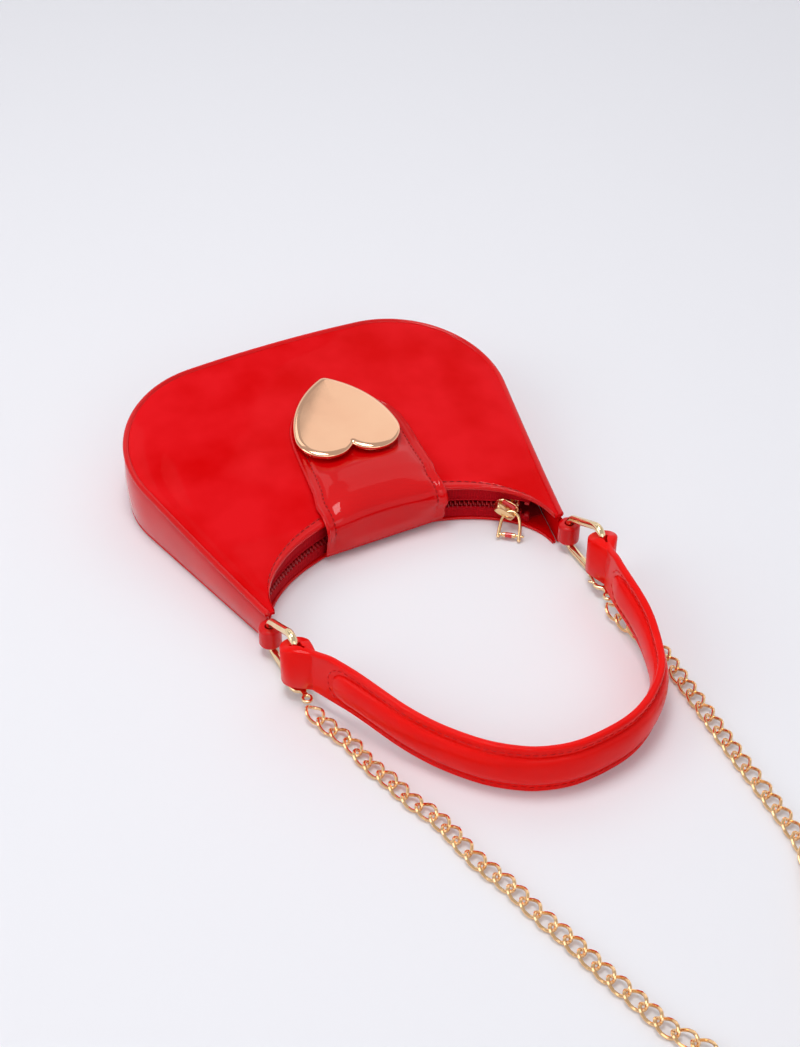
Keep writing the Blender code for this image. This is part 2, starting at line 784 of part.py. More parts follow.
def build_flap_root():
    """Foot sewn on the back hem, with the upright strip that the flap turns on."""
    low = PANEL_WALL + SEAM_GAP
    foot = low + FLAP_WALL
    high = FLAP_HINGE_Z - FLAP_HINGE_GAP
    front = FLAP_HINGE_Y - FLAP_WALL / 2
    tops = []
    lows = []
    for step in range(FLAP_ROOT_STEPS + 1):
        x = FLAP_CENTRE + FLAP_HALF_WIDTH * (2 * step / FLAP_ROOT_STEPS - 1)
        places = ((front, high), (front + FLAP_WALL, high), (foot_end_y(x), foot))
        tops.append([(x, y, z) for y, z in places])
        lows.append([(x, y, low) for y, _ in places])
    return grid_solid("flap_root", tops, lows)


def build_snap():
    socket = patch("snap_socket", SNAP_RADIUS, front_top, front_under)
    stud = patch("snap_stud", SNAP_RADIUS - SNAP_CLEARANCE, flap_top, flap_under, flap_pivot())
    return [socket, stud]


def arc_round(centre, radius, start, end, steps):
    """Points of an arc in plan, with its start and end given as directions, without its last point."""
    turns = (start + (end - start) * step / steps for step in range(steps))
    return [centre + radius * Vector((math.cos(a), math.sin(a))) for a in turns]


def heart_centres():
    """Centres of the right lobe, the right side's arc and the tip, each arc tangent to the next."""
    lobe = Vector((HEART_WIDTH / 2 - HEART_LOBE_RADIUS, HEART_LOBE_RADIUS - HEART_LENGTH / 2))
    tip = Vector((0, HEART_LENGTH / 2 - HEART_TIP_RADIUS))
    to_lobe = HEART_SIDE_RADIUS - HEART_LOBE_RADIUS
    to_tip = HEART_SIDE_RADIUS - HEART_TIP_RADIUS
    way = tip - lobe
    along = (to_lobe**2 - to_tip**2 + way.length**2) / (2 * way.length)
    across = math.sqrt(to_lobe**2 - along**2)
    ahead = way.normalized()
    side = lobe + ahead * along + Vector((-ahead.y, ahead.x)) * across
    return lobe, side, tip


def heart_half(inset):
    """Right half of the heart's outline, from its notch to its tip, set in by an equal width."""
    lobe, side, tip = heart_centres()
    notch = Vector((0, lobe.y - math.sqrt(HEART_LOBE_RADIUS**2 - lobe.x**2)))
    from_notch = math.atan2(lobe.y - notch.y, lobe.x - notch.x)
    at_lobe = math.atan2(lobe.y - side.y, lobe.x - side.x)
    at_tip = math.atan2(tip.y - side.y, tip.x - side.x)
    points = arc_round(notch, inset, math.pi / 2, from_notch, HEART_NOTCH_STEPS)
    points += arc_round(lobe, HEART_LOBE_RADIUS - inset, from_notch - math.pi, at_lobe, HEART_LOBE_STEPS)
    points += arc_round(side, HEART_SIDE_RADIUS - inset, at_lobe, at_tip, HEART_SIDE_STEPS)
    points += arc_round(tip, HEART_TIP_RADIUS - inset, at_tip, math.pi / 2, HEART_TIP_STEPS)
    return points + [Vector((0, tip.y + HEART_TIP_RADIUS - inset))]


def heart_line(inset):
    """Heart outline on the bag, its point towards the base."""
    half = heart_half(inset)
    local = half + [Vector((-p.x, p.y)) for p in half[-2:0:-1]]
    cos, sin = math.cos(HEART_TURN), math.sin(HEART_TURN)
    return [(HEART_X + cos * p.x - sin * p.y, HEART_Y + sin * p.x + cos * p.y) for p in local]


HEART_NOTCH_STEPS = 3
HEART_LOBE_STEPS = 14
HEART_SIDE_STEPS = 8
HEART_TIP_STEPS = 5
HEART_SLOPE_SHARE = 0.1
HEART_ROUND_SHARES = (1, 0.7, 0.4, 0.15, 0)
HEART_FOOT_INSET = 0.0005


def heart_base():
    """Height under the heart's middle at which its sloped foot clears the flap."""
    spots = heart_line(HEART_FOOT_INSET) + heart_line(HEART_ROUND)
    return max(flap_top(x, y) - HEART_SLOPE_SHARE * (y - HEART_Y) for x, y in spots) + SEAM_GAP


def build_heart():
    base = heart_base()
    layers = []
    for share in HEART_ROUND_SHARES:
        bulge = math.sqrt(1 - (1 - share) ** 2)
        layers.append((HEART_ROUND * share, HEART_EDGE + HEART_DOME * bulge))
    layers.append((HEART_FOOT_INSET, 0))
    rings = []
    for inset, lift in layers:
        rings.append([(x, y, base + HEART_SLOPE_SHARE * (y - HEART_Y) + lift) for x, y in heart_line(inset)])
    return ring_solid("heart_plate", rings, flap_pivot())


# Rings and tabs
def ring_pivot(side):
    return (side * RING_X, RING_TAB_Y, 0)


def loop_y():
    return RING_TAB_Y - RING_PITCH


def build_ring(name, side):
    x = side * RING_X
    places = ((RING_TAB_Y, RING_LOW_Z), (RING_TAB_Y, RING_TAB_TOP), (loop_y(), RING_LOOP_TOP),
              (loop_y(), RING_LOW_Z))
    corners = [Vector((x, y, z)) for y, z in places]
    return tube(f"{name}_ring", rounded_loop(corners, RING_BEND), RING_WIRE_RADIUS, True, 2, ring_pivot(side))


def build_tab(name, side):
    centre = (side * RING_X, RING_TAB_Y)
    tab = prism(f"{name}_tab", circle(centre, TAB_RADIUS, 28), TAB_BOTTOM, TAB_TOP)
    bore = prism(f"{name}_tab_bore", circle(centre, TAB_BORE_RADIUS, 20), TAB_BOTTOM - OVERRUN,
                 TAB_TOP + OVERRUN)
    return cut(tab, bore)


# Handle
STRAP_STEP_SHARE = 1.3
HANDLE_RIGHT_SHARES = (
    (0.92, 0.25), (0.886, 0.476), (0.836, 0.616), (0.757, 0.751), (0.657, 0.843), (0.514, 0.924),
    (0.357, 0.976),
)
HANDLE_LEFT_SHARES = (
    (-0.143, 0.973), (-0.257, 0.93), (-0.386, 0.852), (-0.493, 0.757), (-0.607, 0.627),
    (-0.707, 0.497), (-0.814, 0.324),
)


def handle_spot(shares):
    return Vector((shares[0] * RING_X, loop_y() - shares[1] * HANDLE_REACH))


def loop_heading(side):
    """Direction in which the strap leaves the loop of one side."""
    shares = HANDLE_RIGHT_SHARES[0] if side > 0 else HANDLE_LEFT_SHARES[-1]
    return (handle_spot(shares) - Vector((side * RING_X, loop_y()))).normalized()


def handle_line():
    start = LOOP_TAIL + SEAM_GAP
    right = Vector((RING_X, loop_y())) + loop_heading(1) * start
    left = Vector((-RING_X, loop_y())) + loop_heading(-1) * start
    middle = [handle_spot((0.165, 1.0)), handle_spot((0.0, 1.0))]
    spots = [handle_spot(s) for s in HANDLE_RIGHT_SHARES] + middle
    spots += [handle_spot(s) for s in HANDLE_LEFT_SHARES]
    return smooth_line([right] + spots + [left], STRAP_WALL * STRAP_STEP_SHARE)


def line_lengths(line):
    return [float(s) for s in np.cumsum([0] + [(b - a).length for a, b in zip(line, line[1:])])]


def ease(value, start, end):
    share = min(max((value - start) / (end - start), 0), 1)
    return share * share * (3 - 2 * share)


STRAP_RAISED_SHARE = 0.08
STRAP_LOWERED_SHARE = 0.27


def strap_low(from_end, length):
    lowered = ease(from_end, STRAP_RAISED_SHARE * length, STRAP_LOWERED_SHARE * length)
    return STRAP_END_BOTTOM + (STRAP_BOTTOM - STRAP_END_BOTTOM) * lowered


def strap_high(from_end, length):
    widened = ease(from_end, 0, PAD_INSET)
    return strap_low(from_end, length) + STRAP_END_HEIGHT + (STRAP_HEIGHT - STRAP_END_HEIGHT) * widened


def ribbon(name, line, near, far, low, high, pivot):
    """Band standing along a plan line, between two offsets to its left."""
    lengths = line_lengths(line)
    tops = []
    lows = []
    for i, place in enumerate(line):
        ahead = line[min(i + 1, len(line) - 1)] - line[max(i - 1, 0)]
        left = Vector((-ahead.y, ahead.x)).normalized()
        from_end = min(lengths[i], lengths[-1] - lengths[i])
        pair = [place + left * near, place + left * far]
        tops.append([(p.x, p.y, high(from_end, lengths[-1])) for p in pair])
        lows.append([(p.x, p.y, low(from_end, lengths[-1])) for p in pair])
    return grid_solid(name, tops, lows, pivot)


def handle_pivot():
    return (-RING_X, loop_y(), 0)


def build_strap():
    half = STRAP_WALL / 2
    return ribbon("handle_strap", handle_line(), -half, half, strap_low, strap_high, handle_pivot())


def build_pads():
    line = handle_line()
    lengths = line_lengths(line)
    inset = PAD_INSET
    kept = [p for p, s in zip(line, lengths) if inset < s < lengths[-1] - inset]

    def low(from_end, length):
        corner = PAD_MARGIN * (1 - ease(from_end, 0, 2 * PAD_MARGIN))
        return strap_low(from_end + inset, length + 2 * inset) + PAD_MARGIN + corner

    def high(from_end, length):
        corner = PAD_MARGIN * (1 - ease(from_end, 0, 2 * PAD_MARGIN))
        return strap_high(from_end + inset, length + 2 * inset) - PAD_MARGIN - corner

    near = STRAP_WALL / 2 + SEAM_GAP
    far = near + PAD_WALL
    return [
        ribbon("handle_pad_outer", kept, near, far, low, high, handle_pivot()),
        ribbon("handle_pad_inner", kept, -far, -near, low, high, handle_pivot()),
    ]


LOOP_STEPS = 18
LOOP_ARC_START = math.radians(70)
LOOP_ARC = math.radians(220)


def build_loop(name, side):
    """Teardrop end of the handle round the ring's leg."""
    centre = Vector((side * RING_X, loop_y()))
    heading = loop_heading(side)
    across = Vector((-heading.y, heading.x))
    tail = centre + heading * LOOP_TAIL
    points = []
    for step in range(LOOP_STEPS + 1):
        angle = LOOP_ARC_START + LOOP_ARC * step / LOOP_STEPS
        points.append(centre + heading * LOOP_RADIUS * math.cos(angle) + across * LOOP_RADIUS * math.sin(angle))
    points += [tail - across * STRAP_WALL / 2, tail + across * STRAP_WALL / 2]
    top = STRAP_END_BOTTOM + STRAP_END_HEIGHT
    loop = prism(f"handle_loop_{name}", points, STRAP_END_BOTTOM, top, handle_pivot())
    bore = prism(f"loop_bore_{name}", circle(centre, LOOP_BORE_RADIUS, 20), STRAP_END_BOTTOM - OVERRUN,
                 top + OVERRUN)
    return cut(loop, bore)


# Clasps
CLASP_SLIPS = {"left": 0.0, "right": 0.0042}
CLASP_TURNS = {"left": LEFT_CLASP_TURN, "right": RIGHT_CLASP_TURN}
CLASP_SIDE_PLAY = -0.0005


def on_clasp(name, along, across):
    """Plan place given along the clasp, from the middle of its hook towards its tail."""
    side = SIDES[name]
    turn = CLASP_TURNS[name]
    forward = Vector((math.cos(turn), math.sin(turn)))
    sideways = Vector((forward.y, -forward.x)) * side
    leg = Vector((side * RING_X, loop_y()))
    return leg + forward * (along + CLASP_SLIPS[name]) + sideways * (across - CLASP_SIDE_PLAY)


def clasp_eye_along():
    return CLASP_HOOK + CLASP_BORE + CLASP_NECK + CLASP_EYE_RADIUS / 2


def arc_places(centre, radius, start, end, steps):
    turns = (math.radians(start + (end - start) * step / steps) for step in range(steps + 1))
    return [(centre + radius * math.cos(a), radius * math.sin(a)) for a in turns]


def build_clasp(name):
    half = CLASP_BORE + CLASP_BAR
    eye = clasp_eye_along()
    outer = arc_places(-CLASP_HOOK, half, 90, 270, 12)
    outer += [(CLASP_HOOK, -half), (CLASP_HOOK + CLASP_BORE, -half / 2)]
    outer += arc_places(eye, CLASP_EYE_RADIUS, -140, 140, 12)
    outer += [(CLASP_HOOK + CLASP_BORE, half / 2), (CLASP_HOOK, half)]
    places = [on_clasp(name, *p) for p in outer]
    top = CLASP_BOTTOM + CLASP_WALL
    body = prism(f"{name}_clasp_body", places, CLASP_BOTTOM, top, ring_pivot(SIDES[name]))
    bore = arc_places(-CLASP_HOOK, CLASP_BORE, 90, 270, 12) + arc_places(CLASP_HOOK / 2, CLASP_BORE, -90, 90, 12)
    holes = {"bore": bore, "eye_bore": arc_places(eye, CLASP_EYE_BORE, 0, 345, 23), "gate_way": gate_way()}
    for label, shape in holes.items():
        spots = [on_clasp(name, *p) for p in shape]
        cut(body, prism(f"{name}_clasp_{label}", spots, CLASP_BOTTOM - OVERRUN, top + OVERRUN))
    return body


def gate_pivot_along():
    return GATE_LENGTH / 2 - GATE_WALL / 2


def gate_way():
    """Opening in the clasp's side bar that the gate closes."""
    reach = GATE_LENGTH / 2 + GATE_GAP
    low = CLASP_BORE - GATE_CUT_OVERLAP
    high = CLASP_BORE + CLASP_BAR + OVERRUN
    return [(-reach, low), (reach, low), (reach, high), (-reach, high)]


def gate_pivot(name):
    middle = CLASP_BORE + CLASP_BAR / 2
    spot = on_clasp(name, gate_pivot_along(), middle)
    return (spot.x, spot.y, CLASP_BOTTOM + CLASP_WALL / 2)


def build_gate(name):
    middle = CLASP_BORE + CLASP_BAR / 2
    half = GATE_WALL / 2
    straight = GATE_LENGTH / 2 - half
    right = [(x, middle + y) for x, y in arc_places(straight, half, -90, 90, 6)]
    left = [(x, middle + y) for x, y in arc_places(-straight, half, 90, 270, 6)]
    places = [on_clasp(name, *p) for p in right + left]
    top = CLASP_BOTTOM + CLASP_WALL
    return prism(f"{name}_clasp_gate", places, CLASP_BOTTOM, top, gate_pivot(name))


# Chain
CHAIN_STEP_SHARE = 2.2
LEFT_CHAIN_PLACES = (
    (-0.0678, -0.0590, 0.0027), (-0.0648, -0.0668, 0.0025), (-0.0634, -0.0800, 0.0025),
    (-0.0602, -0.0907, 0.0025), (-0.0577, -0.1030, 0.0025), (-0.0536, -0.1139, 0.0025),
    (-0.0517, -0.1240, 0.0025), (-0.0498, -0.1386, 0.0025), (-0.0452, -0.1539, 0.0025),
    (-0.0423, -0.1695, 0.0025), (-0.0386, -0.1833, 0.0025), (-0.0352, -0.1995, 0.0025),
    (-0.0310, -0.2163, 0.0025), (-0.0280, -0.2290, 0.0025), (-0.0222, -0.2398, 0.0025),
    (-0.0160, -0.2540, 0.0025), (-0.0050, -0.2770, 0.0025), (0.0070, -0.2905, 0.0025),
    (0.0195, -0.2925, 0.0025), (0.0272, -0.2845, 0.0025),
)
RIGHT_CHAIN_PLACES = (
    (0.0293, -0.2520, 0.0066), (0.0335, -0.2370, 0.0054), (0.0425, -0.2170, 0.0038),
    (0.0520, -0.1990, 0.0027), (0.0580, -0.1860, 0.0025), (0.0605, -0.1650, 0.0025),
    (0.0625, -0.1400, 0.0025), (0.0648, -0.1180, 0.0025), (0.0668, -0.0980, 0.0025),
    (0.0686, -0.0780, 0.0026), (0.0668, -0.0684, 0.0028), (0.0645, -0.0614, 0.0032),
)


def chain_start(name):
    """Where a run leaves its clasp's tail, and the place one diameter on."""
    along = clasp_eye_along() + CLASP_EYE_RADIUS + SEAM_GAP
    return [Vector((*on_clasp(name, along + step, 0), CLASP_BOTTOM)) for step in (0, CHAIN_DIAMETER)]


def coil_point(turned):
    """Centre of the chain in its coil: in along the lower layer, out along the upper one."""
    total = 2 * math.pi * COIL_TURNS
    middle = total / 2
    radius = COIL_RADIUS - COIL_PITCH * (middle - abs(turned - middle)) / (2 * math.pi)
    lift = ease(turned, middle - math.pi / 2, middle + math.pi / 2)
    angle = math.pi - turned
    x = COIL_X + radius * math.cos(angle)
    return Vector((x, COIL_Y + radius * math.sin(angle), CHAIN_Z + COIL_LAYER * lift))


def coil_line():
    count = 24 * COIL_TURNS
    total = 2 * math.pi * COIL_TURNS
    turns = [coil_point(total * step / count) for step in range(count + 1)]
    straight = Vector((0, CHAIN_DIAMETER, 0))
    return [turns[0] - straight] + turns + [turns[-1] + straight]


def least_gap(line, diameter):
    """Least clear distance of a coiled tube to itself, beyond its near neighbours."""
    points = np.array([tuple(p) for p in line])
    steps = np.linalg.norm(np.diff(points, axis=0), axis=1)
    lengths = np.concatenate([[0], np.cumsum(steps)])
    apart = np.linalg.norm(points[:, None] - points[None], axis=2)
    far = np.abs(lengths[:, None] - lengths[None]) > COIL_RADIUS
    return float(apart[far].min()) - diameter


def build_chain():
    coil = coil_line()
    print(f"least gap of the coil to itself {least_gap(coil, CHAIN_DIAMETER) * 1000:.2f} mm")
    spacing = CHAIN_STEP_SHARE * CHAIN_DIAMETER
    gap = Vector((0, SEAM_GAP, 0))
    left_end = [coil[0] - gap - Vector((0, CHAIN_DIAMETER, 0)), coil[0] - gap]
    right_end = [coil[-1] + gap, coil[-1] + gap + Vector((0, CHAIN_DIAMETER, 0))]
    left = smooth_line(chain_start("left") + [Vector(p) for p in LEFT_CHAIN_PLACES] + left_end, spacing)
    right_way = right_end + [Vector(p) for p in RIGHT_CHAIN_PLACES]
    right = smooth_line(right_way + chain_start("right")[::-1], spacing)
    radius = CHAIN_DIAMETER / 2
    return [
        tube("chain_left_run", left, radius),
        tube("chain_right_run", right, radius),
        tube("chain_coil", coil, radius, False, 1),
    ]


# Colours
RED = (0.62, 0.012, 0.010)
BRIGHT_RED = (0.80, 0.050, 0.012)
DEEP_RED = (0.36, 0.008, 0.008)
ROSE_GOLD = (0.86, 0.60, 0.42)
PALE_GOLD = (0.88, 0.74, 0.48)


def main():
    for obj in list(bpy.data.objects):
        bpy.data.objects.remove(obj)
    paint(build_panels() + build_gusset() + build_piping(), "red_vinyl", RED, 0.16)
    paint(build_hems() + [build_flap(), build_flap_root()], "red_vinyl", RED, 0.16)
    paint(build_linings(), "lining", DEEP_RED, 0.5)
    paint(build_tapes(), "zip_tape", RED, 0.7)
    paint(build_teeth() + build_stops(), "zip_coil", DEEP_RED, 0.35)
    paint([build_slider(), build_bridge()] + build_puller(), "slider_metal", PALE_GOLD, 0.25, 1.0)
    paint([build_enamel()], "enamel", BRIGHT_RED, 0.12)
    paint(build_snap(), "snap_metal", PALE_GOLD, 0.3, 1.0)
    paint([build_heart()], "heart_metal", ROSE_GOLD, 0.1, 1.0)
    for name, side in SIDES.items():
        paint([build_tab(name, side), build_loop(name, side)], "red_vinyl", RED, 0.16)
        paint([build_ring(name, side), build_clasp(name), build_gate(name)], "gold", PALE_GOLD, 0.15, 1.0)
    paint([build_strap()] + build_pads(), "handle_vinyl", BRIGHT_RED, 0.14)
    paint(build_chain(), "chain_metal", PALE_GOLD, 0.2, 1.0)


if __name__ == "__main__":
    main()
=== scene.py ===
"""Dressed scene of a small glossy red handbag that lies on its back.

Sizes are metres. Plan places are given from the line of the bag's two top corners: x across,
y towards the base. Every mesh is moved by PLAN_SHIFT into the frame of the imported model.
"""

from __future__ import annotations

import logging
import math
from collections.abc import Callable, Sequence
from dataclasses import dataclass, field, replace
from enum import Enum

import bmesh
import bpy
import numpy as np
from mathutils import Matrix, Vector


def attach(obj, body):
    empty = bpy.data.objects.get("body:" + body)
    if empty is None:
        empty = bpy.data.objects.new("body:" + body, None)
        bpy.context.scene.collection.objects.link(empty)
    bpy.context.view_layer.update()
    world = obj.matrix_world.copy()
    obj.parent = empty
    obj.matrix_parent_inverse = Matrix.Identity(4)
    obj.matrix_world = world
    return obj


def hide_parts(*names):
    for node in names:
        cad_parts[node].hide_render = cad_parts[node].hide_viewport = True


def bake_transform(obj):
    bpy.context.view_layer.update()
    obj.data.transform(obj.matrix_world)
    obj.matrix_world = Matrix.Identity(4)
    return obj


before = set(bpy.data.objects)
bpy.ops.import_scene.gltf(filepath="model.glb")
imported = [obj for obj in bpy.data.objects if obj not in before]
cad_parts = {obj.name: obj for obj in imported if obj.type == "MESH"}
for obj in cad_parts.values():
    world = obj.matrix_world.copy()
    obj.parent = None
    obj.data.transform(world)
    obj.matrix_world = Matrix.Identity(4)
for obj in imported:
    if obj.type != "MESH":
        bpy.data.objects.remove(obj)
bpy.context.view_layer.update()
LOG = logging.getLogger("handbag")
PLAN_SHIFT = Vector((0.0, -0.01075, 0.0))
Point = Sequence[float]
Pair = tuple[float, float]
Pairs = tuple[Pair, ...]
Grid = Sequence[Sequence[Point]]
Colour = tuple[float, float, float]
Socket = bpy.types.NodeSocket


class Side(Enum):
    """The two sides of the bag, as the sign of x."""

    LEFT = -1
    RIGHT = 1

    @property
    def word(self) -> str:
        """The side's name in the nodes' names."""
        return self.name.lower()


# Shapes
def bent(value: float, power: float) -> float:
    """The value's size raised to a power, with its sign kept."""
    return math.copysign(abs(value) ** power, value)


def spaced(start: float, end: float, steps: int) -> list[float]:
    """Values at even steps from a start to an end, both included."""
    return [start + (end - start) * k / steps for k in range(steps + 1)]


def full_turn(count: int) -> list[float]:
    """Angles at even steps round a circle."""
    return spaced(0, 2 * math.pi, count)[:-1]


def ridge(distance: float, height: float, width: float) -> float:
    """Height of a soft ridge at a distance from its middle line."""
    return height * math.exp(-(distance / width) ** 2)


def fade(distance: float, height: float, width: float) -> float:
    """Height of a rise that dies away with the distance from an edge."""
    return height * math.exp(-distance / width)


def polar(angle: float, radius: float) -> Vector:
    """A plan step from an angle and a length."""
    return radius * Vector((math.cos(angle), math.sin(angle)))


def packed(place: Point) -> tuple[float, ...]:
    """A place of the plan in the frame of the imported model."""
    return tuple(Vector(place) + PLAN_SHIFT)


def rounded_box(count: int, half_wide: float, half_high: float, wide_power: float = 1.0,
                high_power: float = 1.0) -> list[Pair]:
    """Points round an oval, or round a box whose corners are the tighter the lower the powers.

    Args:
        count: how many points.
        half_wide: half its width.
        half_high: half its height.
        wide_power: 1 for an oval, lower for straighter ends.
        high_power: the same for its upper and lower side.

    Returns:
        Offsets across and up from its middle.
    """
    return [(half_wide * bent(math.cos(a), wide_power), half_high * bent(math.sin(a), high_power))
            for a in full_turn(count)]


def ease(value: float, start: float, end: float) -> float:
    """Smooth step.

    Args:
        value: where on the way.
        start: the value that gives 0.
        end: the value that gives 1.

    Returns:
        A share from 0 to 1.
    """
    share = min(max((value - start) / (end - start), 0.0), 1.0)
    return share * share * (3 - 2 * share)


def add_mesh(name: str, points: Sequence[Point], faces: Sequence[Sequence[int]],
             sharp: float = 40.0) -> bpy.types.Object:
    """Links a smooth shaded mesh given in the bag's plan.

    Args:
        name: the piece's name.
        points: places of its corners.
        faces: corner numbers of each face.
        sharp: edges sharper than this many degrees stay crisp.

    Returns:
        The new object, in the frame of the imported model.
    """
    mesh = bpy.data.meshes.new(name)
    mesh.from_pydata([packed(p) for p in points], [], [tuple(f) for f in faces])
    mesh.validate()
    bm = bmesh.new()
    bm.from_mesh(mesh)
    bmesh.ops.recalc_face_normals(bm, faces=bm.faces)
    bm.to_mesh(mesh)
    bm.free()
    mesh.shade_smooth()
    mesh.set_sharp_from_angle(angle=math.radians(sharp))
    obj = bpy.data.objects.new(name, mesh)
    bpy.context.scene.collection.objects.link(obj)
    return obj


def ring_faces(rings: int, around: int, closed: bool, first: int = 0) -> list[tuple[int, ...]]:
    """Faces of a tube through rings of points.

    Args:
        rings: how many rings.
        around: points in each ring.
        closed: joins the last ring to the first, or else caps both.
        first: number of the first point.

    Returns:
        Corner numbers of each face.
    """
    faces: list[tuple[int, ...]] = []
    for r in range(rings if closed else rings - 1):
        here, there = first + r * around, first + (r + 1) % rings * around
        for k in range(around):
            after = (k + 1) % around
            faces.append((here + k, here + after, there + after, there + k))
    if not closed:
        faces.append(tuple(first + k for k in range(around)))
        faces.append(tuple(first + (rings - 1) * around + k for k in reversed(range(around))))
    return faces


def loft_many(name: str, parts: Sequence[Grid], closed: bool = False, sharp: float = 40.0) -> bpy.types.Object:
    """One object of several closed solids, each through rings of points.

    Args:
        name: the piece's name.
        parts: the rings of each solid, all with as many points.
        closed: joins each solid's last ring to its first.
        sharp: edges sharper than this many degrees stay crisp.

    Returns:
        The new object.
    """
    points: list[Point] = []
    faces: list[tuple[int, ...]] = []
    for rings in parts:
        faces += ring_faces(len(rings), len(rings[0]), closed, len(points))
        points += [p for ring in rings for p in ring]
    return add_mesh(name, points, faces, sharp)


def loft(name: str, rings: Grid, closed: bool = False, sharp: float = 40.0) -> bpy.types.Object:
    """One closed solid through rings of points, as loft_many makes them."""
    return loft_many(name, [rings], closed, sharp)


def sheet_solid(name: str, top: Grid, under: Grid, sharp: float = 50.0) -> bpy.types.Object:
    """A closed solid between two grids of points.

    Args:
        name: the piece's name.
        top: rows of points of the face seen.
        under: rows of points of the other face.
        sharp: edges sharper than this many degrees stay crisp.

    Returns:
        The new object.
    """
    return loft(name, [[*a, *reversed(b)] for a, b in zip(top, under)], False, sharp)


def smooth_line(places: Sequence[Point], spacing: float) -> list[Vector]:
    """A Catmull-Rom curve through places.

    Args:
        places: the points that it passes.
        spacing: distance between the points that are returned.

    Returns:
        Evenly spaced points along it.
    """
    knots = [Vector(p) for p in places]
    ends = [2 * knots[0] - knots[1]] + knots + [2 * knots[-1] - knots[-2]]
    dense: list[Vector] = []
    for a, b, c, d in zip(ends, ends[1:], ends[2:], ends[3:]):
        for t in np.linspace(0, 1, 24, endpoint=False):
            cubic = 2 * b + (c - a) * t + (2 * a - 5 * b + 4 * c - d) * t**2
            dense.append((cubic + (3 * b - a - 3 * c + d) * t**3) / 2)
    dense.append(knots[-1])
    return even_line(dense, spacing)


def line_lengths(line: Sequence[Vector]) -> list[float]:
    """Distance of each point from the line's start."""
    return [float(s) for s in np.cumsum([0] + [(b - a).length for a, b in zip(line, line[1:])])]


def even_line(line: Sequence[Vector], spacing: float) -> list[Vector]:
    """The same line read at even steps.

    Args:
        line: its points.
        spacing: distance between the points that are returned.

    Returns:
        Evenly spaced points.
    """
    lengths = line_lengths(line)
    steps = max(2, round(lengths[-1] / spacing))
    wanted = np.linspace(0, lengths[-1], steps + 1)
    columns = [np.interp(wanted, lengths, [p[k] for p in line]) for k in range(len(line[0]))]
    return [Vector(p) for p in zip(*columns)]


def headings(line: Sequence[Vector], closed: bool = False) -> list[Vector]:
    """Unit directions along a line, at each of its points.

    Args:
        line: its points.
        closed: the line ends where it starts.

    Returns:
        A direction for each point.
    """
    last = len(line) - 1
    if closed:
        return [(line[(i + 1) % (last + 1)] - line[i - 1]).normalized() for i in range(last + 1)]
    return [(line[min(i + 1, last)] - line[max(i - 1, 0)]).normalized() for i in range(last + 1)]


def tube_rings(line: Sequence[Vector], radius: float | Sequence[float], around: int,
               closed: bool = False, up: Vector | None = None) -> list[list[Vector]]:
    """Rings of a round bar along a line.

    Args:
        line: its middle.
        radius: one radius, or one for each point.
        around: points in each ring.
        closed: the line ends where it starts.
        up: a direction that no part of the line takes.

    Returns:
        The rings.
    """
    up = up or Vector((0, 0, 1))
    radii = radius if isinstance(radius, Sequence) else [radius] * len(line)
    rings = []
    for place, ahead, size in zip(line, headings(line, closed), radii):
        side = ahead.cross(up).normalized()
        rise = side.cross(ahead)
        rings.append([place + size * (side * math.cos(a) + rise * math.sin(a)) for a in full_turn(around)])
    return rings


def rounded_loop(corners: Sequence[Vector], bends: Sequence[float], steps: int) -> list[Vector]:
    """A closed line through corners, each turned by an arc.

    Args:
        corners: the corners in order.
        bends: radius of the arc at each.
        steps: steps in each arc.

    Returns:
        Points of the line.
    """
    points = []
    for i, (corner, bend) in enumerate(zip(corners, bends)):
        before = (corners[i - 1] - corner).normalized()
        after = (corners[(i + 1) % len(corners)] - corner).normalized()
        half = before.angle(after) / 2
        centre = corner + (before + after).normalized() * bend / math.sin(half)
        start = corner + before * bend / math.tan(half) - centre
        end = corner + after * bend / math.tan(half) - centre
        turn = start.angle(end)
        for a in spaced(0, turn, steps):
            mix = (start * math.sin(turn - a) + end * math.sin(a)) / math.sin(turn)
            points.append(centre + mix)
    return points


@dataclass(frozen=True)
class Stitch:
    """A stitch of thread, its ends drawn into the vinyl."""

    length: float
    gap: float
    radius: float

    def sew(self, line: Sequence[Vector], normal: Callable[[Vector], Vector]) -> list[list[list[Vector]]]:
        """Stitches along a seam.

        Args:
            line: the seam.
            normal: direction out of the surface at a place.

        Returns:
            The rings of each stitch.
        """
        lengths = line_lengths(line)
        lifts, sizes = (-0.6, 0.35, 0.6, 0.35, -0.6), (0.6, 1.0, 1.0, 1.0, 0.6)
        parts = []
        start = self.gap
        while start + self.length < lengths[-1]:
            wanted = np.linspace(start, start + self.length, 5)
            columns = [np.interp(wanted, lengths, [p[k] for p in line]) for k in range(3)]
            places = [Vector(p) for p in zip(*columns)]
            out = normal(places[2])
            bowed = [p + out * self.radius * lift for p, lift in zip(places, lifts)]
            parts.append(tube_rings(bowed, [self.radius * size for size in sizes], 6, up=out))
            start += self.length + self.gap
        return parts


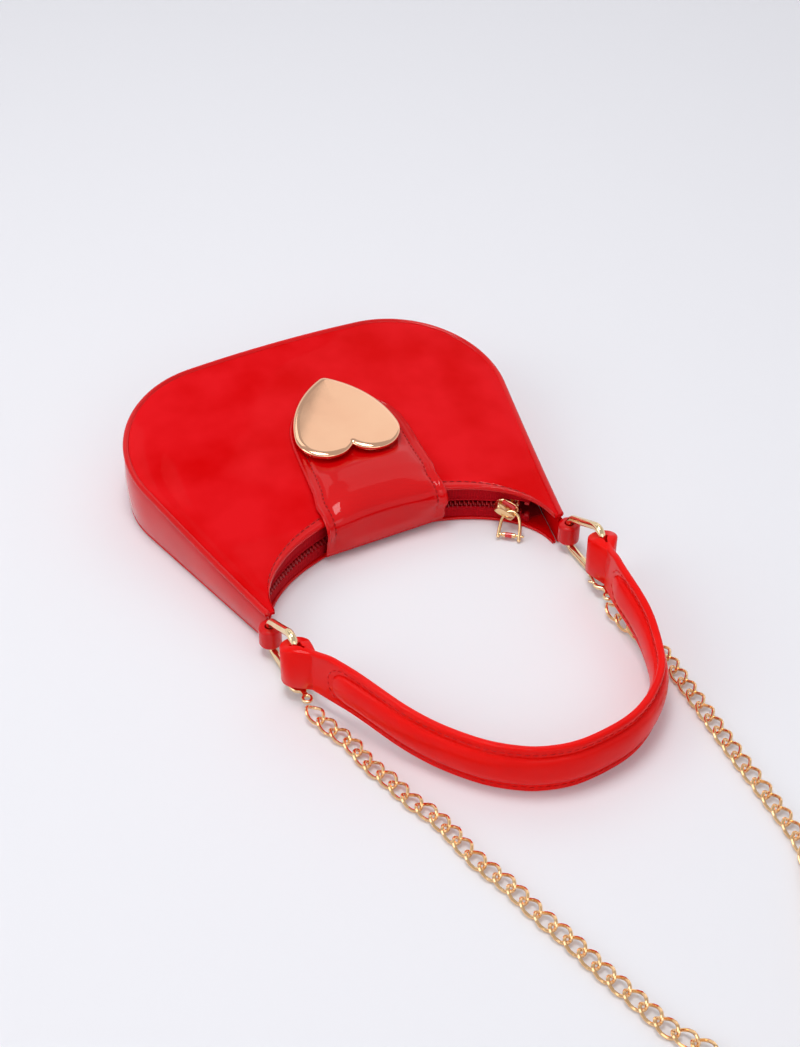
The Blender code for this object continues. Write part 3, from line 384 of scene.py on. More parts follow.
# Finishes
class Painter:
    """A new material and the nodes that are added to it."""

    def __init__(self, name: str) -> None:
        """Starts a material with one shader.

        Args:
            name: the material's name.
        """
        self.material = bpy.data.materials.new(name)
        self.material.use_nodes = True
        self.nodes, self.links = self.material.node_tree.nodes, self.material.node_tree.links
        self.shader = self.nodes["Principled BSDF"]

    def feed(self, node: bpy.types.Node, inputs: dict[str | int, object]) -> None:
        """Sets or links a node's inputs.

        Args:
            node: the node.
            inputs: a value, or another node's socket, for each input.
        """
        for key, value in inputs.items():
            if isinstance(value, Socket):
                self.links.new(value, node.inputs[key])
            else:
                node.inputs[key].default_value = value

    def add(self, kind: str, inputs: dict[str | int, object], **settings: object) -> bpy.types.Node:
        """Adds a node.

        Args:
            kind: its type, without the word that all shader nodes share.
            inputs: what its inputs get.
            settings: its other settings.

        Returns:
            The node.
        """
        node = self.nodes.new(f"ShaderNode{kind}")
        for key, value in settings.items():
            setattr(node, key, value)
        self.feed(node, inputs)
        return node

    def place(self) -> Socket:
        """The place on the object."""
        return self.add("TexCoord", {}).outputs["Object"]

    def noise(self, place: Socket, scale: float, detail: float) -> Socket:
        """Noise from 0 to 1, with so many cells in a metre and so many octaves."""
        return self.add("TexNoise", {"Scale": scale, "Detail": detail, "Vector": place}).outputs["Fac"]

    def spread(self, value: Socket, low: float, high: float, out_low: float,
               out_high: float) -> Socket:
        """The value's range from low to high, mapped onto another range."""
        return self.add("MapRange", {"From Min": low, "From Max": high, "To Min": out_low, "To Max": out_high,
                                     "Value": value}).outputs["Result"]

    def blend(self, share: Socket, first: Colour, second: Colour) -> Socket:
        """A colour between two."""
        return self.add("Mix", {"A": (*first, 1), "B": (*second, 1), "Factor": share},
                        data_type="RGBA").outputs["Result"]

    def bump(self, height: Socket, metres: float,
             under: Socket | None = None) -> Socket:
        """The normal of a relief whose 0 to 1 is so many metres, on top of another normal."""
        inputs = {"Distance": metres, "Height": height} | ({"Normal": under} if under else {})
        return self.add("Bump", inputs).outputs["Normal"]


@dataclass(frozen=True)
class Gloss:
    """A finish of one shader, whose colour, gloss and bump vary with noise."""

    name: str
    slot: str
    colour: Colour
    deep: Colour
    cloud_scale: float = 60.0
    metallic: float = 0.0
    rough: float = 0.2
    rough_spread: float = 0.05
    coat: float = 0.0
    coat_rough: float = 0.03
    sheen: float = 0.0
    grain_scale: float = 900.0
    grain_height: float = 0.00002
    wave_scale: float = 0.0
    wave_height: float = 0.0
    specular: float = 0.5
    coat_ior: float = 1.5

    def make(self) -> bpy.types.Material:
        """Builds the material.

        Returns:
            The material.
        """
        paint = Painter(self.name)
        place = paint.place()
        # Cloudy patches between colour and deep: random tone on most finishes, painted reflection haze on the flat
        # panel.
        cloud = paint.spread(paint.noise(place, self.cloud_scale, 3.0), 0.38, 0.66, 0.0, 1.0)
        smear = paint.noise(place, self.cloud_scale * 2.3, 5.0)
        rough = paint.spread(smear, 0.3, 0.7, self.rough - self.rough_spread, self.rough + self.rough_spread)
        bump = paint.bump(paint.noise(place, self.grain_scale, 2.0), self.grain_height)
        if self.wave_height:
            bump = paint.bump(paint.noise(place, self.wave_scale, 1.5), self.wave_height, bump)
            paint.feed(paint.shader, {"Coat Normal": bump})
        paint.feed(paint.shader, {
            "Base Color": paint.blend(cloud, self.colour, self.deep), "Metallic": self.metallic,
            "Roughness": rough, "Specular IOR Level": self.specular, "Coat Weight": self.coat,
            "Coat Roughness": self.coat_rough, "Coat IOR": self.coat_ior, "Sheen Weight": self.sheen,
            "Normal": bump,
        })
        return paint.material


@dataclass(frozen=True)
class Weave:
    """A woven finish whose threads run along x and y."""

    name: str
    slot: str
    colour: Colour
    deep: Colour
    thread: float = 0.0005
    height: float = 0.00008
    rough: float = 0.8
    sheen: float = 0.02
    specular: float = 0.08

    def make(self) -> bpy.types.Material:
        """Builds the material.

        Returns:
            The material.
        """
        paint = Painter(self.name)
        place = paint.place()
        threads = [paint.add("TexWave", {"Scale": 0.314 / self.thread, "Distortion": 0.4, "Vector": place},
                             bands_direction=direction).outputs["Fac"] for direction in ("X", "Y")]
        crossing = paint.add("Math", dict(enumerate(threads)), operation="MULTIPLY").outputs[0]
        paint.feed(paint.shader, {
            "Base Color": paint.blend(crossing, self.deep, self.colour), "Roughness": self.rough,
            "Specular IOR Level": self.specular, "Sheen Weight": self.sheen,
            "Normal": paint.bump(crossing, self.height),
        })
        return paint.material


Finish = Gloss | Weave


PATENT = Gloss("patent_vinyl", "red_vinyl", (0.700, 0.0006, 0.0022), (0.610, 0.0004, 0.0016), 16.0,
               rough=0.42, rough_spread=0.05, coat=0.85, coat_rough=0.05, grain_scale=1400,
               grain_height=0.000004, wave_scale=42, wave_height=0.00012, specular=0.04, coat_ior=1.36)
PATENT_SIDE = replace(PATENT, name="patent_vinyl_side", colour=(0.690, 0.0006, 0.0022),
                      deep=(0.600, 0.0004, 0.0016), coat=1.0, coat_rough=0.07, coat_ior=1.48)
# The flat panel's paler, pinkish colour, mixed in cloudy patches with the deeper red, is painted reflection haze
# that stands in for the panel's soft smudge highlights.
PATENT_FLAT = replace(PATENT, name="patent_vinyl_flat", colour=(0.770, 0.0070, 0.0110),
                      deep=(0.665, 0.0002, 0.0010), cloud_scale=34.0, rough=0.45, coat=0.18,
                      coat_rough=0.04, wave_scale=36, wave_height=0.00022, specular=0.0, coat_ior=1.34)
HANDLE_VINYL = Gloss("handle_gloss_vinyl", "handle_vinyl", (0.880, 0.0035, 0.0010), (0.790, 0.0020, 0.0008), 30.0,
                     rough=0.40, coat=0.40, coat_rough=0.035, grain_scale=1100, grain_height=0.000008,
                     wave_scale=90, wave_height=0.00005, specular=0.03, coat_ior=1.33)
THREAD = Gloss("red_thread", "red_vinyl", (0.42, 0.0015, 0.0030), (0.32, 0.001, 0.002), 300.0, rough=0.5,
               sheen=0.1, grain_scale=5000, grain_height=0.00003, specular=0.2)
HANDLE_THREAD = replace(THREAD, name="handle_thread", slot="handle_vinyl", colour=(0.76, 0.004, 0.002),
                        deep=(0.66, 0.003, 0.002), rough=0.4, sheen=0.0)
LINING = Weave("woven_lining", "lining_fabric", (0.44, 0.002, 0.008), (0.32, 0.0015, 0.006), 0.0004)
TAPE = Weave("woven_tape", "zip_tape", (0.56, 0.002, 0.010), (0.42, 0.0015, 0.007), 0.0006, 0.0001)
COIL_PLASTIC = Gloss("zip_coil_plastic", "zip_coil", (0.42, 0.002, 0.006), (0.32, 0.0015, 0.004), 200.0,
                     rough=0.36, grain_scale=3000, grain_height=0.00001, specular=0.4)
GOLD = Gloss("pale_gold", "gold_metal", (0.90, 0.70, 0.42), (0.84, 0.63, 0.36), 120.0, metallic=1.0,
             rough=0.12, rough_spread=0.04, grain_scale=2600, grain_height=0.000003)
CHAIN_GOLD = replace(GOLD, name="chain_gold", slot="chain_metal", colour=(0.95, 0.62, 0.33),
                     deep=(0.89, 0.54, 0.26), cloud_scale=150.0, rough=0.14)
SLIDER_GOLD = replace(GOLD, name="slider_gold", slot="slider_metal", colour=(0.92, 0.66, 0.36),
                      deep=(0.85, 0.57, 0.29), cloud_scale=150.0, rough=0.17, grain_height=0.000005)
SNAP_METAL = replace(GOLD, name="snap_brass", slot="snap_metal", colour=(0.80, 0.63, 0.40),
                     deep=(0.70, 0.52, 0.31), cloud_scale=200.0, rough=0.24, rough_spread=0.05,
                     grain_height=0.000006)
ROSE_GOLD = replace(GOLD, name="rose_gold", slot="heart_metal", colour=(0.93, 0.56, 0.36),
                    deep=(0.90, 0.52, 0.33), cloud_scale=40.0, rough=0.10, rough_spread=0.03,
                    grain_scale=500, grain_height=0.000002, wave_scale=60, wave_height=0.00001)
ENAMEL = Gloss("slider_enamel", "enamel", (0.70, 0.004, 0.006), (0.62, 0.003, 0.005), 200.0, rough=0.2,
               coat=1.0, grain_scale=900, grain_height=0.000003)


def dress(obj: bpy.types.Object, finish: Finish, body: str | None, *nodes: str) -> bpy.types.Object:
    """Paints a piece, puts it on a body and stands it in for its solids.

    Args:
        obj: the piece.
        finish: what it is made of.
        body: the body that it moves with, or None for a piece that is put on no body.
        nodes: solids that it replaces.

    Returns:
        The same piece.
    """
    obj.data.materials.clear()
    obj.data.materials.append(bpy.data.materials.get(finish.name) or finish.make())
    if body:
        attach(obj, body)
    if nodes:
        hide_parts(*nodes)
    LOG.info("%s rides on %s", obj.name, body)
    return obj


# Studio
@dataclass
class Softbox:
    """A soft lamp that faces a place on the bag."""

    name: str
    place: tuple[float, float, float]
    width: float
    depth: float
    level: float
    aim: tuple[float, float, float] = (0.0, 0.05, 0.0)

    def build(self) -> None:
        """Adds the lamp. Its level is the brightness of its face, where 1 is white."""
        lamp = bpy.data.lights.new(self.name, "AREA")
        lamp.shape = "RECTANGLE"
        lamp.size, lamp.size_y = self.width, self.depth
        lamp.energy = self.level * math.pi * self.width * self.depth
        obj = bpy.data.objects.new(self.name, lamp)
        bpy.context.scene.collection.objects.link(obj)
        obj.location = Vector(self.place) + PLAN_SHIFT
        towards = Vector(self.aim) - Vector(self.place)
        obj.rotation_euler = towards.to_track_quat("-Z", "Y").to_euler()


@dataclass
class Studio:
    """Camera, floor, backdrop and lamps."""

    azimuth: float = -27.44
    elevation: float = 39.94
    roll: float = 0.13
    distance: float = 0.782
    focal_pixels: float = 1780.0
    sensor_width: float = 36.0
    clip_start: float = 0.02
    picture: tuple[int, int] = (800, 1047)
    target: tuple[float, float, float] = (0.01312, 0.04244, 0.0)
    floor_reach: float = 4.0
    floor_z: float = -0.0002
    wall_radius: float = 3.4
    wall_foot: float = -0.001
    wall_height: float = 2.0
    wall_sides: int = 64
    floor_colour: Colour = (0.86, 0.86, 0.895)
    backdrop: Colour = (0.86, 0.86, 0.895)
    sky_level: float = 0.52
    boxes: list[Softbox] = field(default_factory=lambda: [
        Softbox("overhead_softbox", (-0.12, 0.05, 1.20), 0.48, 0.42, 8.2),
        Softbox("left_softbox", (-1.30, 0.10, 0.90), 0.8, 0.9, 1.8),
        Softbox("front_softbox", (-0.20, -1.40, 0.90), 1.0, 0.6, 1.4),
        Softbox("right_back_panel", (0.95, 0.90, 1.20), 1.0, 1.1, 0.50),
        Softbox("left_back_panel", (-0.10, 1.05, 1.15), 0.45, 0.6, 0.9),
    ])

    def build(self) -> None:
        """Makes the studio."""
        self.add_camera()
        self.add_floor()
        self.add_wall()
        self.add_world()
        for box in self.boxes:
            box.build()
        bpy.context.scene.view_settings.view_transform = "Standard"

    def add_camera(self) -> None:
        """Sets the camera where the photograph was taken from."""
        turn, rise = math.radians(self.azimuth), math.radians(self.elevation)
        back = Vector((math.sin(turn) * math.cos(rise), -math.cos(turn) * math.cos(rise), math.sin(rise)))
        right = Vector((math.cos(turn), math.sin(turn), 0))
        rotation = Matrix((right, back.cross(right), back)).transposed()
        camera = bpy.data.objects.new("camera", bpy.data.cameras.new("camera"))
        camera.data.sensor_width = self.sensor_width
        camera.data.lens = self.focal_pixels * self.sensor_width / max(self.picture)
        camera.data.clip_start = self.clip_start
        spin = Matrix.Rotation(math.radians(self.roll), 3, "Z")
        place = Vector(self.target) + PLAN_SHIFT + back * self.distance
        camera.matrix_world = Matrix.Translation(place) @ (rotation @ spin).to_4x4()
        bpy.context.scene.collection.objects.link(camera)
        bpy.context.scene.camera = camera

    def add_floor(self) -> None:
        """Lays the pale sheet that the bag lies on."""
        reach, low = self.floor_reach, self.floor_z
        corners = [(-reach, -reach, low), (reach, -reach, low), (reach, reach, low), (-reach, reach, low)]
        floor = add_mesh("floor_sheet", corners, [(0, 1, 2, 3)])
        floor.data.materials.append(self.paper("floor_paper", self.floor_colour, False))

    def add_wall(self) -> None:
        """Stands the pale backdrop round the floor."""
        rings = []
        for z in (self.wall_foot, self.wall_height):
            rings.append([(self.wall_radius * math.cos(a), self.wall_radius * math.sin(a), z)
                          for a in full_turn(self.wall_sides)])
        faces = ring_faces(2, self.wall_sides, False)[:self.wall_sides]
        wall = add_mesh("backdrop", rings[0] + rings[1], faces)
        wall.data.materials.append(self.paper("backdrop_paper", self.backdrop, True))

    def paper(self, name: str, colour: Colour, glowing: bool) -> bpy.types.Material:
        """Makes matt paper.

        Args:
            name: the material's name.
            colour: its colour.
            glowing: it shows its own colour to the camera and in gloss, whatever light falls on it.

        Returns:
            The material.
        """
        paint = Painter(name)
        paint.feed(paint.shader, {"Roughness": 0.9, "Specular IOR Level": 0.05, "Base Color": (*colour, 1)})
        if glowing:
            rays = paint.add("LightPath", {}).outputs
            seen = rays["Is Camera Ray"]
            for ray in ("Is Glossy Ray", "Is Transmission Ray"):
                seen = paint.add("Math", {0: seen, 1: rays[ray]}, operation="ADD", use_clamp=True).outputs[0]
            glow = paint.add("Emission", {"Color": (*colour, 1)}).outputs[0]
            mix = paint.add("MixShader", {0: seen, 1: paint.shader.outputs[0], 2: glow}).outputs[0]
            paint.feed(paint.nodes["Material Output"], {"Surface": mix})
        return paint.material

    def add_world(self) -> None:
        """Adds the even light that comes from all round."""
        world = bpy.data.worlds.new("studio")
        bpy.context.scene.world = world
        world.use_nodes = True
        background = world.node_tree.nodes["Background"]
        background.inputs["Color"].default_value = (1.0, 1.0, 1.02, 1)
        background.inputs["Strength"].default_value = self.sky_level


# Chain
@dataclass
class Chain:
    """Curb chain in three lengths: a lead from each clasp and a coil between them."""

    link_length: float = 0.0106
    link_width: float = 0.0072
    wire: float = 0.00135
    pitch: float = 0.0069
    tilt: float = math.radians(14)
    twist: float = math.radians(52)
    z: float = 0.0025
    around: int = 8
    bend_steps: int = 22
    left_places: tuple[Point, ...] = (
        (-0.0678, -0.0590, 0.0027), (-0.0648, -0.0668, 0.0025), (-0.0634, -0.0800, 0.0025),
        (-0.0602, -0.0907, 0.0025), (-0.0577, -0.1030, 0.0025), (-0.0536, -0.1139, 0.0025),
        (-0.0517, -0.1240, 0.0025), (-0.0498, -0.1386, 0.0025), (-0.0452, -0.1539, 0.0025),
        (-0.0423, -0.1695, 0.0025), (-0.0386, -0.1833, 0.0025), (-0.0352, -0.1995, 0.0025),
        (-0.0310, -0.2163, 0.0025), (-0.0280, -0.2290, 0.0025), (-0.0222, -0.2398, 0.0025),
        (-0.0160, -0.2540, 0.0025), (-0.0050, -0.2770, 0.0025), (0.0070, -0.2905, 0.0025),
        (0.0195, -0.2925, 0.0025), (0.0272, -0.2845, 0.0025),
    )
    right_places: tuple[Point, ...] = (
        (0.0293, -0.2520, 0.0066), (0.0335, -0.2370, 0.0054), (0.0425, -0.2170, 0.0038),
        (0.0520, -0.1990, 0.0027), (0.0580, -0.1860, 0.0025), (0.0605, -0.1650, 0.0025),
        (0.0625, -0.1400, 0.0025), (0.0648, -0.1180, 0.0025), (0.0668, -0.0980, 0.0025),
        (0.0686, -0.0780, 0.0026), (0.0668, -0.0684, 0.0028), (0.0645, -0.0614, 0.0032),
    )
    coil_radius: float = 0.036
    coil_pitch: float = 0.0076
    coil_layer: float = 0.0046
    coil_turns: int = 3
    coil_centre: Pair = (0.064, -0.266)
    diameter: float = 0.004
    gap: float = 0.0003
    line_step: float = 0.0005
    path_step: float = 0.004
    bend_reach: Pair = (0.004, 0.060)

    def build(self, clasps: dict[Side, Clasp]) -> None:
        """Args:
            clasps: the clasps that the leads start from.
        """
        coil = self.coil_line()
        step = Vector((0, self.diameter, 0))
        apart = Vector((0, self.gap, 0))
        left = smooth_line([*clasps[Side.LEFT].chain_start(), *self.left_places, coil[0] - apart - step,
                            coil[0] - apart], self.line_step)
        right = smooth_line([coil[-1] + apart, coil[-1] + apart + step, *self.right_places,
                             *clasps[Side.RIGHT].chain_start()[::-1]], self.line_step)
        coil = even_line(coil, self.line_step)
        for name, line, lay in (("chain_left_run", left, "loose"), ("chain_coil", coil, "coiled"),
                                ("chain_right_run", right[::-1], "loose")):
            piece = self.links(f"curb_{name}", line)
            coiled = name == "chain_coil"
            dress(piece, CHAIN_GOLD, "bag" if coiled else None, name)
            if not coiled:
                self.follow(piece)

    def follow(self, piece: bpy.types.Object) -> None:
        """Bakes a lead's placement into its mesh.

        Args:
            piece: the lead.
        """
        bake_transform(piece)

    def coil_line(self) -> list[Vector]:
        """Middle of the coil: in along the lower layer, then out along the upper one.

        Returns:
            Its points, with a straight step at both ends.
        """
        total = 2 * math.pi * self.coil_turns
        middle = total / 2
        count = 24 * self.coil_turns
        line = []
        for turned in spaced(0, total, count):
            shrink = self.coil_pitch * (middle - abs(turned - middle)) / (2 * math.pi)
            lift = ease(turned, middle - math.pi / 2, middle + math.pi / 2)
            radius, angle = self.coil_radius - shrink, math.pi - turned
            line.append(Vector((self.coil_centre[0] + radius * math.cos(angle),
                                self.coil_centre[1] + radius * math.sin(angle),
                                self.z + self.coil_layer * lift)))
        straight = Vector((0, self.diameter, 0))
        return [line[0] - straight] + line + [line[-1] + straight]

    def links(self, name: str, line: list[Vector]) -> bpy.types.Object:
        """Curb links along a line, each twisted over the next.

        Args:
            name: the piece's name.
            line: its middle, in fine steps.

        Returns:
            The chain.
        """
        lengths = line_lengths(line)
        count = max(2, round((lengths[-1] - self.link_length) / self.pitch))
        spots = np.linspace(self.link_length / 2, lengths[-1] - self.link_length / 2, count)
        parts = []
        for spot in spots:
            at = int(np.searchsorted(lengths, spot))
            reach = max(1, round(self.pitch / 2 / (lengths[1] - lengths[0])))
            ahead = (line[min(at + reach, len(line) - 1)] - line[max(at - reach, 0)]).normalized()
            side = Vector((0, 0, 1)).cross(ahead).normalized()
            up = ahead.cross(side)
            cos, sin = math.cos(self.tilt), math.sin(self.tilt)
            parts.append(self.link(line[at], ahead, side * cos + up * sin, up * cos - side * sin))
        return loft_many(name, parts, True)

    def link(self, centre: Vector, ahead: Vector, flat: Vector, normal: Vector) -> list[list[Vector]]:
        """One oval link of round wire whose ends are twisted apart.

        Args:
            centre: its middle.
            ahead: the chain's direction.
            flat: its width's direction.
            normal: out of its face.

        Returns:
            The rings of its wire.
        """
        half_long = (self.link_length - self.wire) / 2
        half_wide = (self.link_width - self.wire) / 2
        middle = []
        for step in range(self.bend_steps):
            a = 2 * math.pi * (step + 0.5) / self.bend_steps
            reach = bent(math.cos(a), 0.8)
            turned = self.twist * reach
            across = flat * math.cos(turned) + normal * math.sin(turned)
            middle.append(centre + ahead * half_long * reach + across * half_wide * math.sin(a))
        return tube_rings(middle, self.wire / 2, self.around, closed=True, up=normal)


# Rings, clasps and handle
@dataclass
class Clasp:
    """Flat lobster clasp that hangs on a ring, with its sprung gate."""

    side: Side
    turn: float
    slip: float
    wall: float = 0.0018
    bottom: float = 0.0041
    bar: float = 0.0019
    bore: float = 0.0026
    hook: float = 0.0037
    neck: float = 0.0032
    eye_radius: float = 0.0024
    eye_bore: float = 0.0011
    gate_length: float = 0.0050
    gate_wall: float = 0.0014
    gate_gap: float = 0.0003
    side_play: float = -0.0005
    leg: Pair = (0.0701, -0.030)
    chain_gap: float = 0.0003
    chain_step: float = 0.004
    neck_half: float = 0.0019
    neck_waist: float = 0.0008
    lug_reach: float = 0.0017
    lug_root: float = 0.0004
    lug_half: float = 0.0008

    def place(self, along: float, across: float, up: float = 0.0) -> Vector:
        """A place given along the clasp from its hook, across it, and up from its middle.

        Args:
            along: from the hook towards the chain.
            across: towards the bag's middle line.
            up: above the middle of its wall.

        Returns:
            The place on the bag.
        """
        forward = Vector((math.cos(self.turn), math.sin(self.turn), 0))
        sideways = Vector((forward.y, -forward.x, 0)) * self.side.value
        leg = Vector((self.side.value * self.leg[0], self.leg[1], self.bottom + self.wall / 2 + up))
        return leg + forward * (along + self.slip) + sideways * (across - self.side_play)

    def eye_along(self) -> float:
        """Where the eye's middle is along the clasp."""
        return self.hook + self.bore + self.neck + self.eye_radius / 2

    def chain_start(self) -> list[Vector]:
        """Where the chain leaves the eye, and a place one wire on."""
        along = self.eye_along() + self.eye_radius + self.chain_gap
        return [self.place(along + step, 0, -self.wall / 2) for step in (0, self.chain_step)]

    def build(self) -> None:
        """Makes the clasp and its gate."""
        word = self.side.word
        middle = self.bore + self.bar / 2
        inner_end = self.hook / 2
        line = [Vector((self.gate_length / 2 + self.gate_gap, middle))]
        line += [Vector((inner_end + middle * math.sin(a), middle * math.cos(a)))
                 for a in np.linspace(0.0, math.pi, 13)[1:]]
        line += [Vector((-self.hook - middle * math.sin(a), -middle * math.cos(a)))
                 for a in np.linspace(0, math.pi, 13)]
        line.append(Vector((-self.gate_length / 2 - self.gate_gap, middle)))
        rings = []
        spread = even_line([Vector((p.x, p.y, 0)) for p in line], 0.0006)
        for i, (spot, ahead) in enumerate(zip(spread, headings(spread))):
            share = i / (len(spread) - 1)
            swell = 1 + ridge(share - 0.22, 0.30, 0.14) - 0.18 * ease(share, 0.86, 1.0)
            rings.append(self.oval(spot, ahead, self.bar / 2 * swell, self.wall / 2))
        neck = []
        start, end = inner_end + middle, self.eye_along() - self.eye_radius + 0.0006
        for share in np.linspace(0, 1, 7):
            size = self.neck_half - self.neck_waist * math.sin(math.pi * share * 0.75)
            neck.append(self.oval(Vector((start + (end - start) * share, 0, 0)), Vector((1, 0, 0)), size,
                                  self.wall / 2 * (1 - 0.1 * share)))
        eye_middle = (self.eye_radius + self.eye_bore) / 2
        eye = []
        for a in full_turn(20):
            spot = Vector((self.eye_along(), 0, 0)) + Vector((*polar(a, eye_middle), 0))
            eye.append(self.oval(spot, Vector((*polar(a + math.pi / 2, 1), 0)),
                                 (self.eye_radius - self.eye_bore) / 2, self.wall * 0.4))
        solid = loft_many(f"{word}_clasp", [rings, neck])
        dress(solid, GOLD, f"{word}_ring", f"{word}_clasp_body")
        dress(loft(f"{word}_clasp_eye", eye, True), GOLD, f"{word}_ring")
        self.build_gate(middle)

    def build_gate(self, middle: float) -> None:
        """Makes the gate with its thumb lug.

        Args:
            middle: how far from the clasp's middle line it lies.
        """
        word = self.side.word
        reach = self.gate_length / 2
        spots = [-1, -0.93, -0.75, -0.3, 0.3, 0.75, 0.93, 1]
        sizes = [0.3, 0.65, 0.95, 0.9, 0.95, 1.0, 0.7, 0.35]
        bar = [self.oval(Vector((reach * s, middle, 0)), Vector((1, 0, 0)), self.gate_wall / 2 * size,
                         self.wall * 0.48 * size) for s, size in zip(spots, sizes)]
        lug = []
        for share, size in ((0.0, 0.7), (0.4, 0.75), (0.75, 0.65), (0.95, 0.35)):
            spot = Vector((reach * (0.45 - 0.5 * share), middle + self.lug_root + self.lug_reach * share, 0))
            lug.append(self.oval(spot, Vector((-0.35, 1, 0)).normalized(), self.lug_half * size,
                                 self.wall * 0.4 * size))
        dress(loft_many(f"{word}_gate", [bar, lug]), GOLD, f"{word}_gate", f"{word}_clasp_gate")

    def oval(self, spot: Vector, ahead: Vector, half_wide: float, half_high: float) -> list[Vector]:
        """A rounded section across a direction in the clasp's plane.

        Args:
            spot: the section's middle, in the clasp's plane.
            ahead: the direction that it is square to.
            half_wide: half its width.
            half_high: half its height.

        Returns:
            Its points on the bag.
        """
        side = Vector((-ahead.y, ahead.x, 0))
        points = []
        for wide, up in rounded_box(12, half_wide, half_high, 0.75, 0.75):
            local = spot + side * wide
            points.append(self.place(local.x, local.y, up))
        return points


@dataclass
class Ring:
    """Polished wire ring that hangs on a tab, and the tab."""

    side: Side
    x: float = 0.0701
    tab_y: float = -0.0050
    pitch: float = 0.025
    wire_radius: float = 0.0017
    low_z: float = 0.0020
    tab_top: float = 0.0165
    loop_top: float = 0.0295
    bends: tuple[float, float, float, float] = (0.0040, 0.0060, 0.0042, 0.0045)
    tab_radius: float = 0.0047
    tab_low: float = 0.0044
    tab_high: float = 0.0138
    tab_bore: float = 0.0021
    tab_bend: float = 0.0012

    def build(self) -> None:
        """Makes the ring and the tab."""
        word = self.side.word
        x, loop_y = self.side.value * self.x, self.tab_y - self.pitch
        corners = [Vector((x, y, z)) for y, z in ((self.tab_y, self.low_z), (self.tab_y, self.tab_top),
                                                  (loop_y, self.loop_top), (loop_y, self.low_z))]
        line = rounded_loop(corners, list(self.bends), 9)
        dense = []
        for a, b in zip(line, line[1:] + line[:1]):
            steps = max(1, round((b - a).length / 0.002))
            dense += [a.lerp(b, k / steps) for k in range(steps)]
        rings = tube_rings(dense, self.wire_radius, 16, closed=True, up=Vector((1, 0, 0)))
        dress(loft(f"{word}_wire_ring", rings, True), GOLD, f"{word}_ring", f"{word}_ring")
        self.build_tab(x)

    def build_tab(self, x: float) -> None:
        """Makes the vinyl loop round the ring's leg, rolled at its rims.

        Args:
            x: place across of the leg.
        """
        word = self.side.word
        rings = []
        profile = [(self.tab_bore, self.tab_low), (self.tab_bore, self.tab_high)]
        bends = [(1 - math.sin(a), 1 - math.cos(a)) for a in np.linspace(0, math.pi / 2, 7)]
        profile += [(self.tab_radius - self.tab_bend * out, self.tab_high - self.tab_bend * down)
                    for out, down in bends]
        profile += [(self.tab_radius - self.tab_bend * out, self.tab_low + self.tab_bend * up)
                    for up, out in bends]
        for a in full_turn(40):
            rings.append([(x + r * math.cos(a), self.tab_y + r * math.sin(a), z) for r, z in profile])
        dress(loft(f"{word}_ring_tab", rings, True), PATENT, "bag", f"{word}_tab")


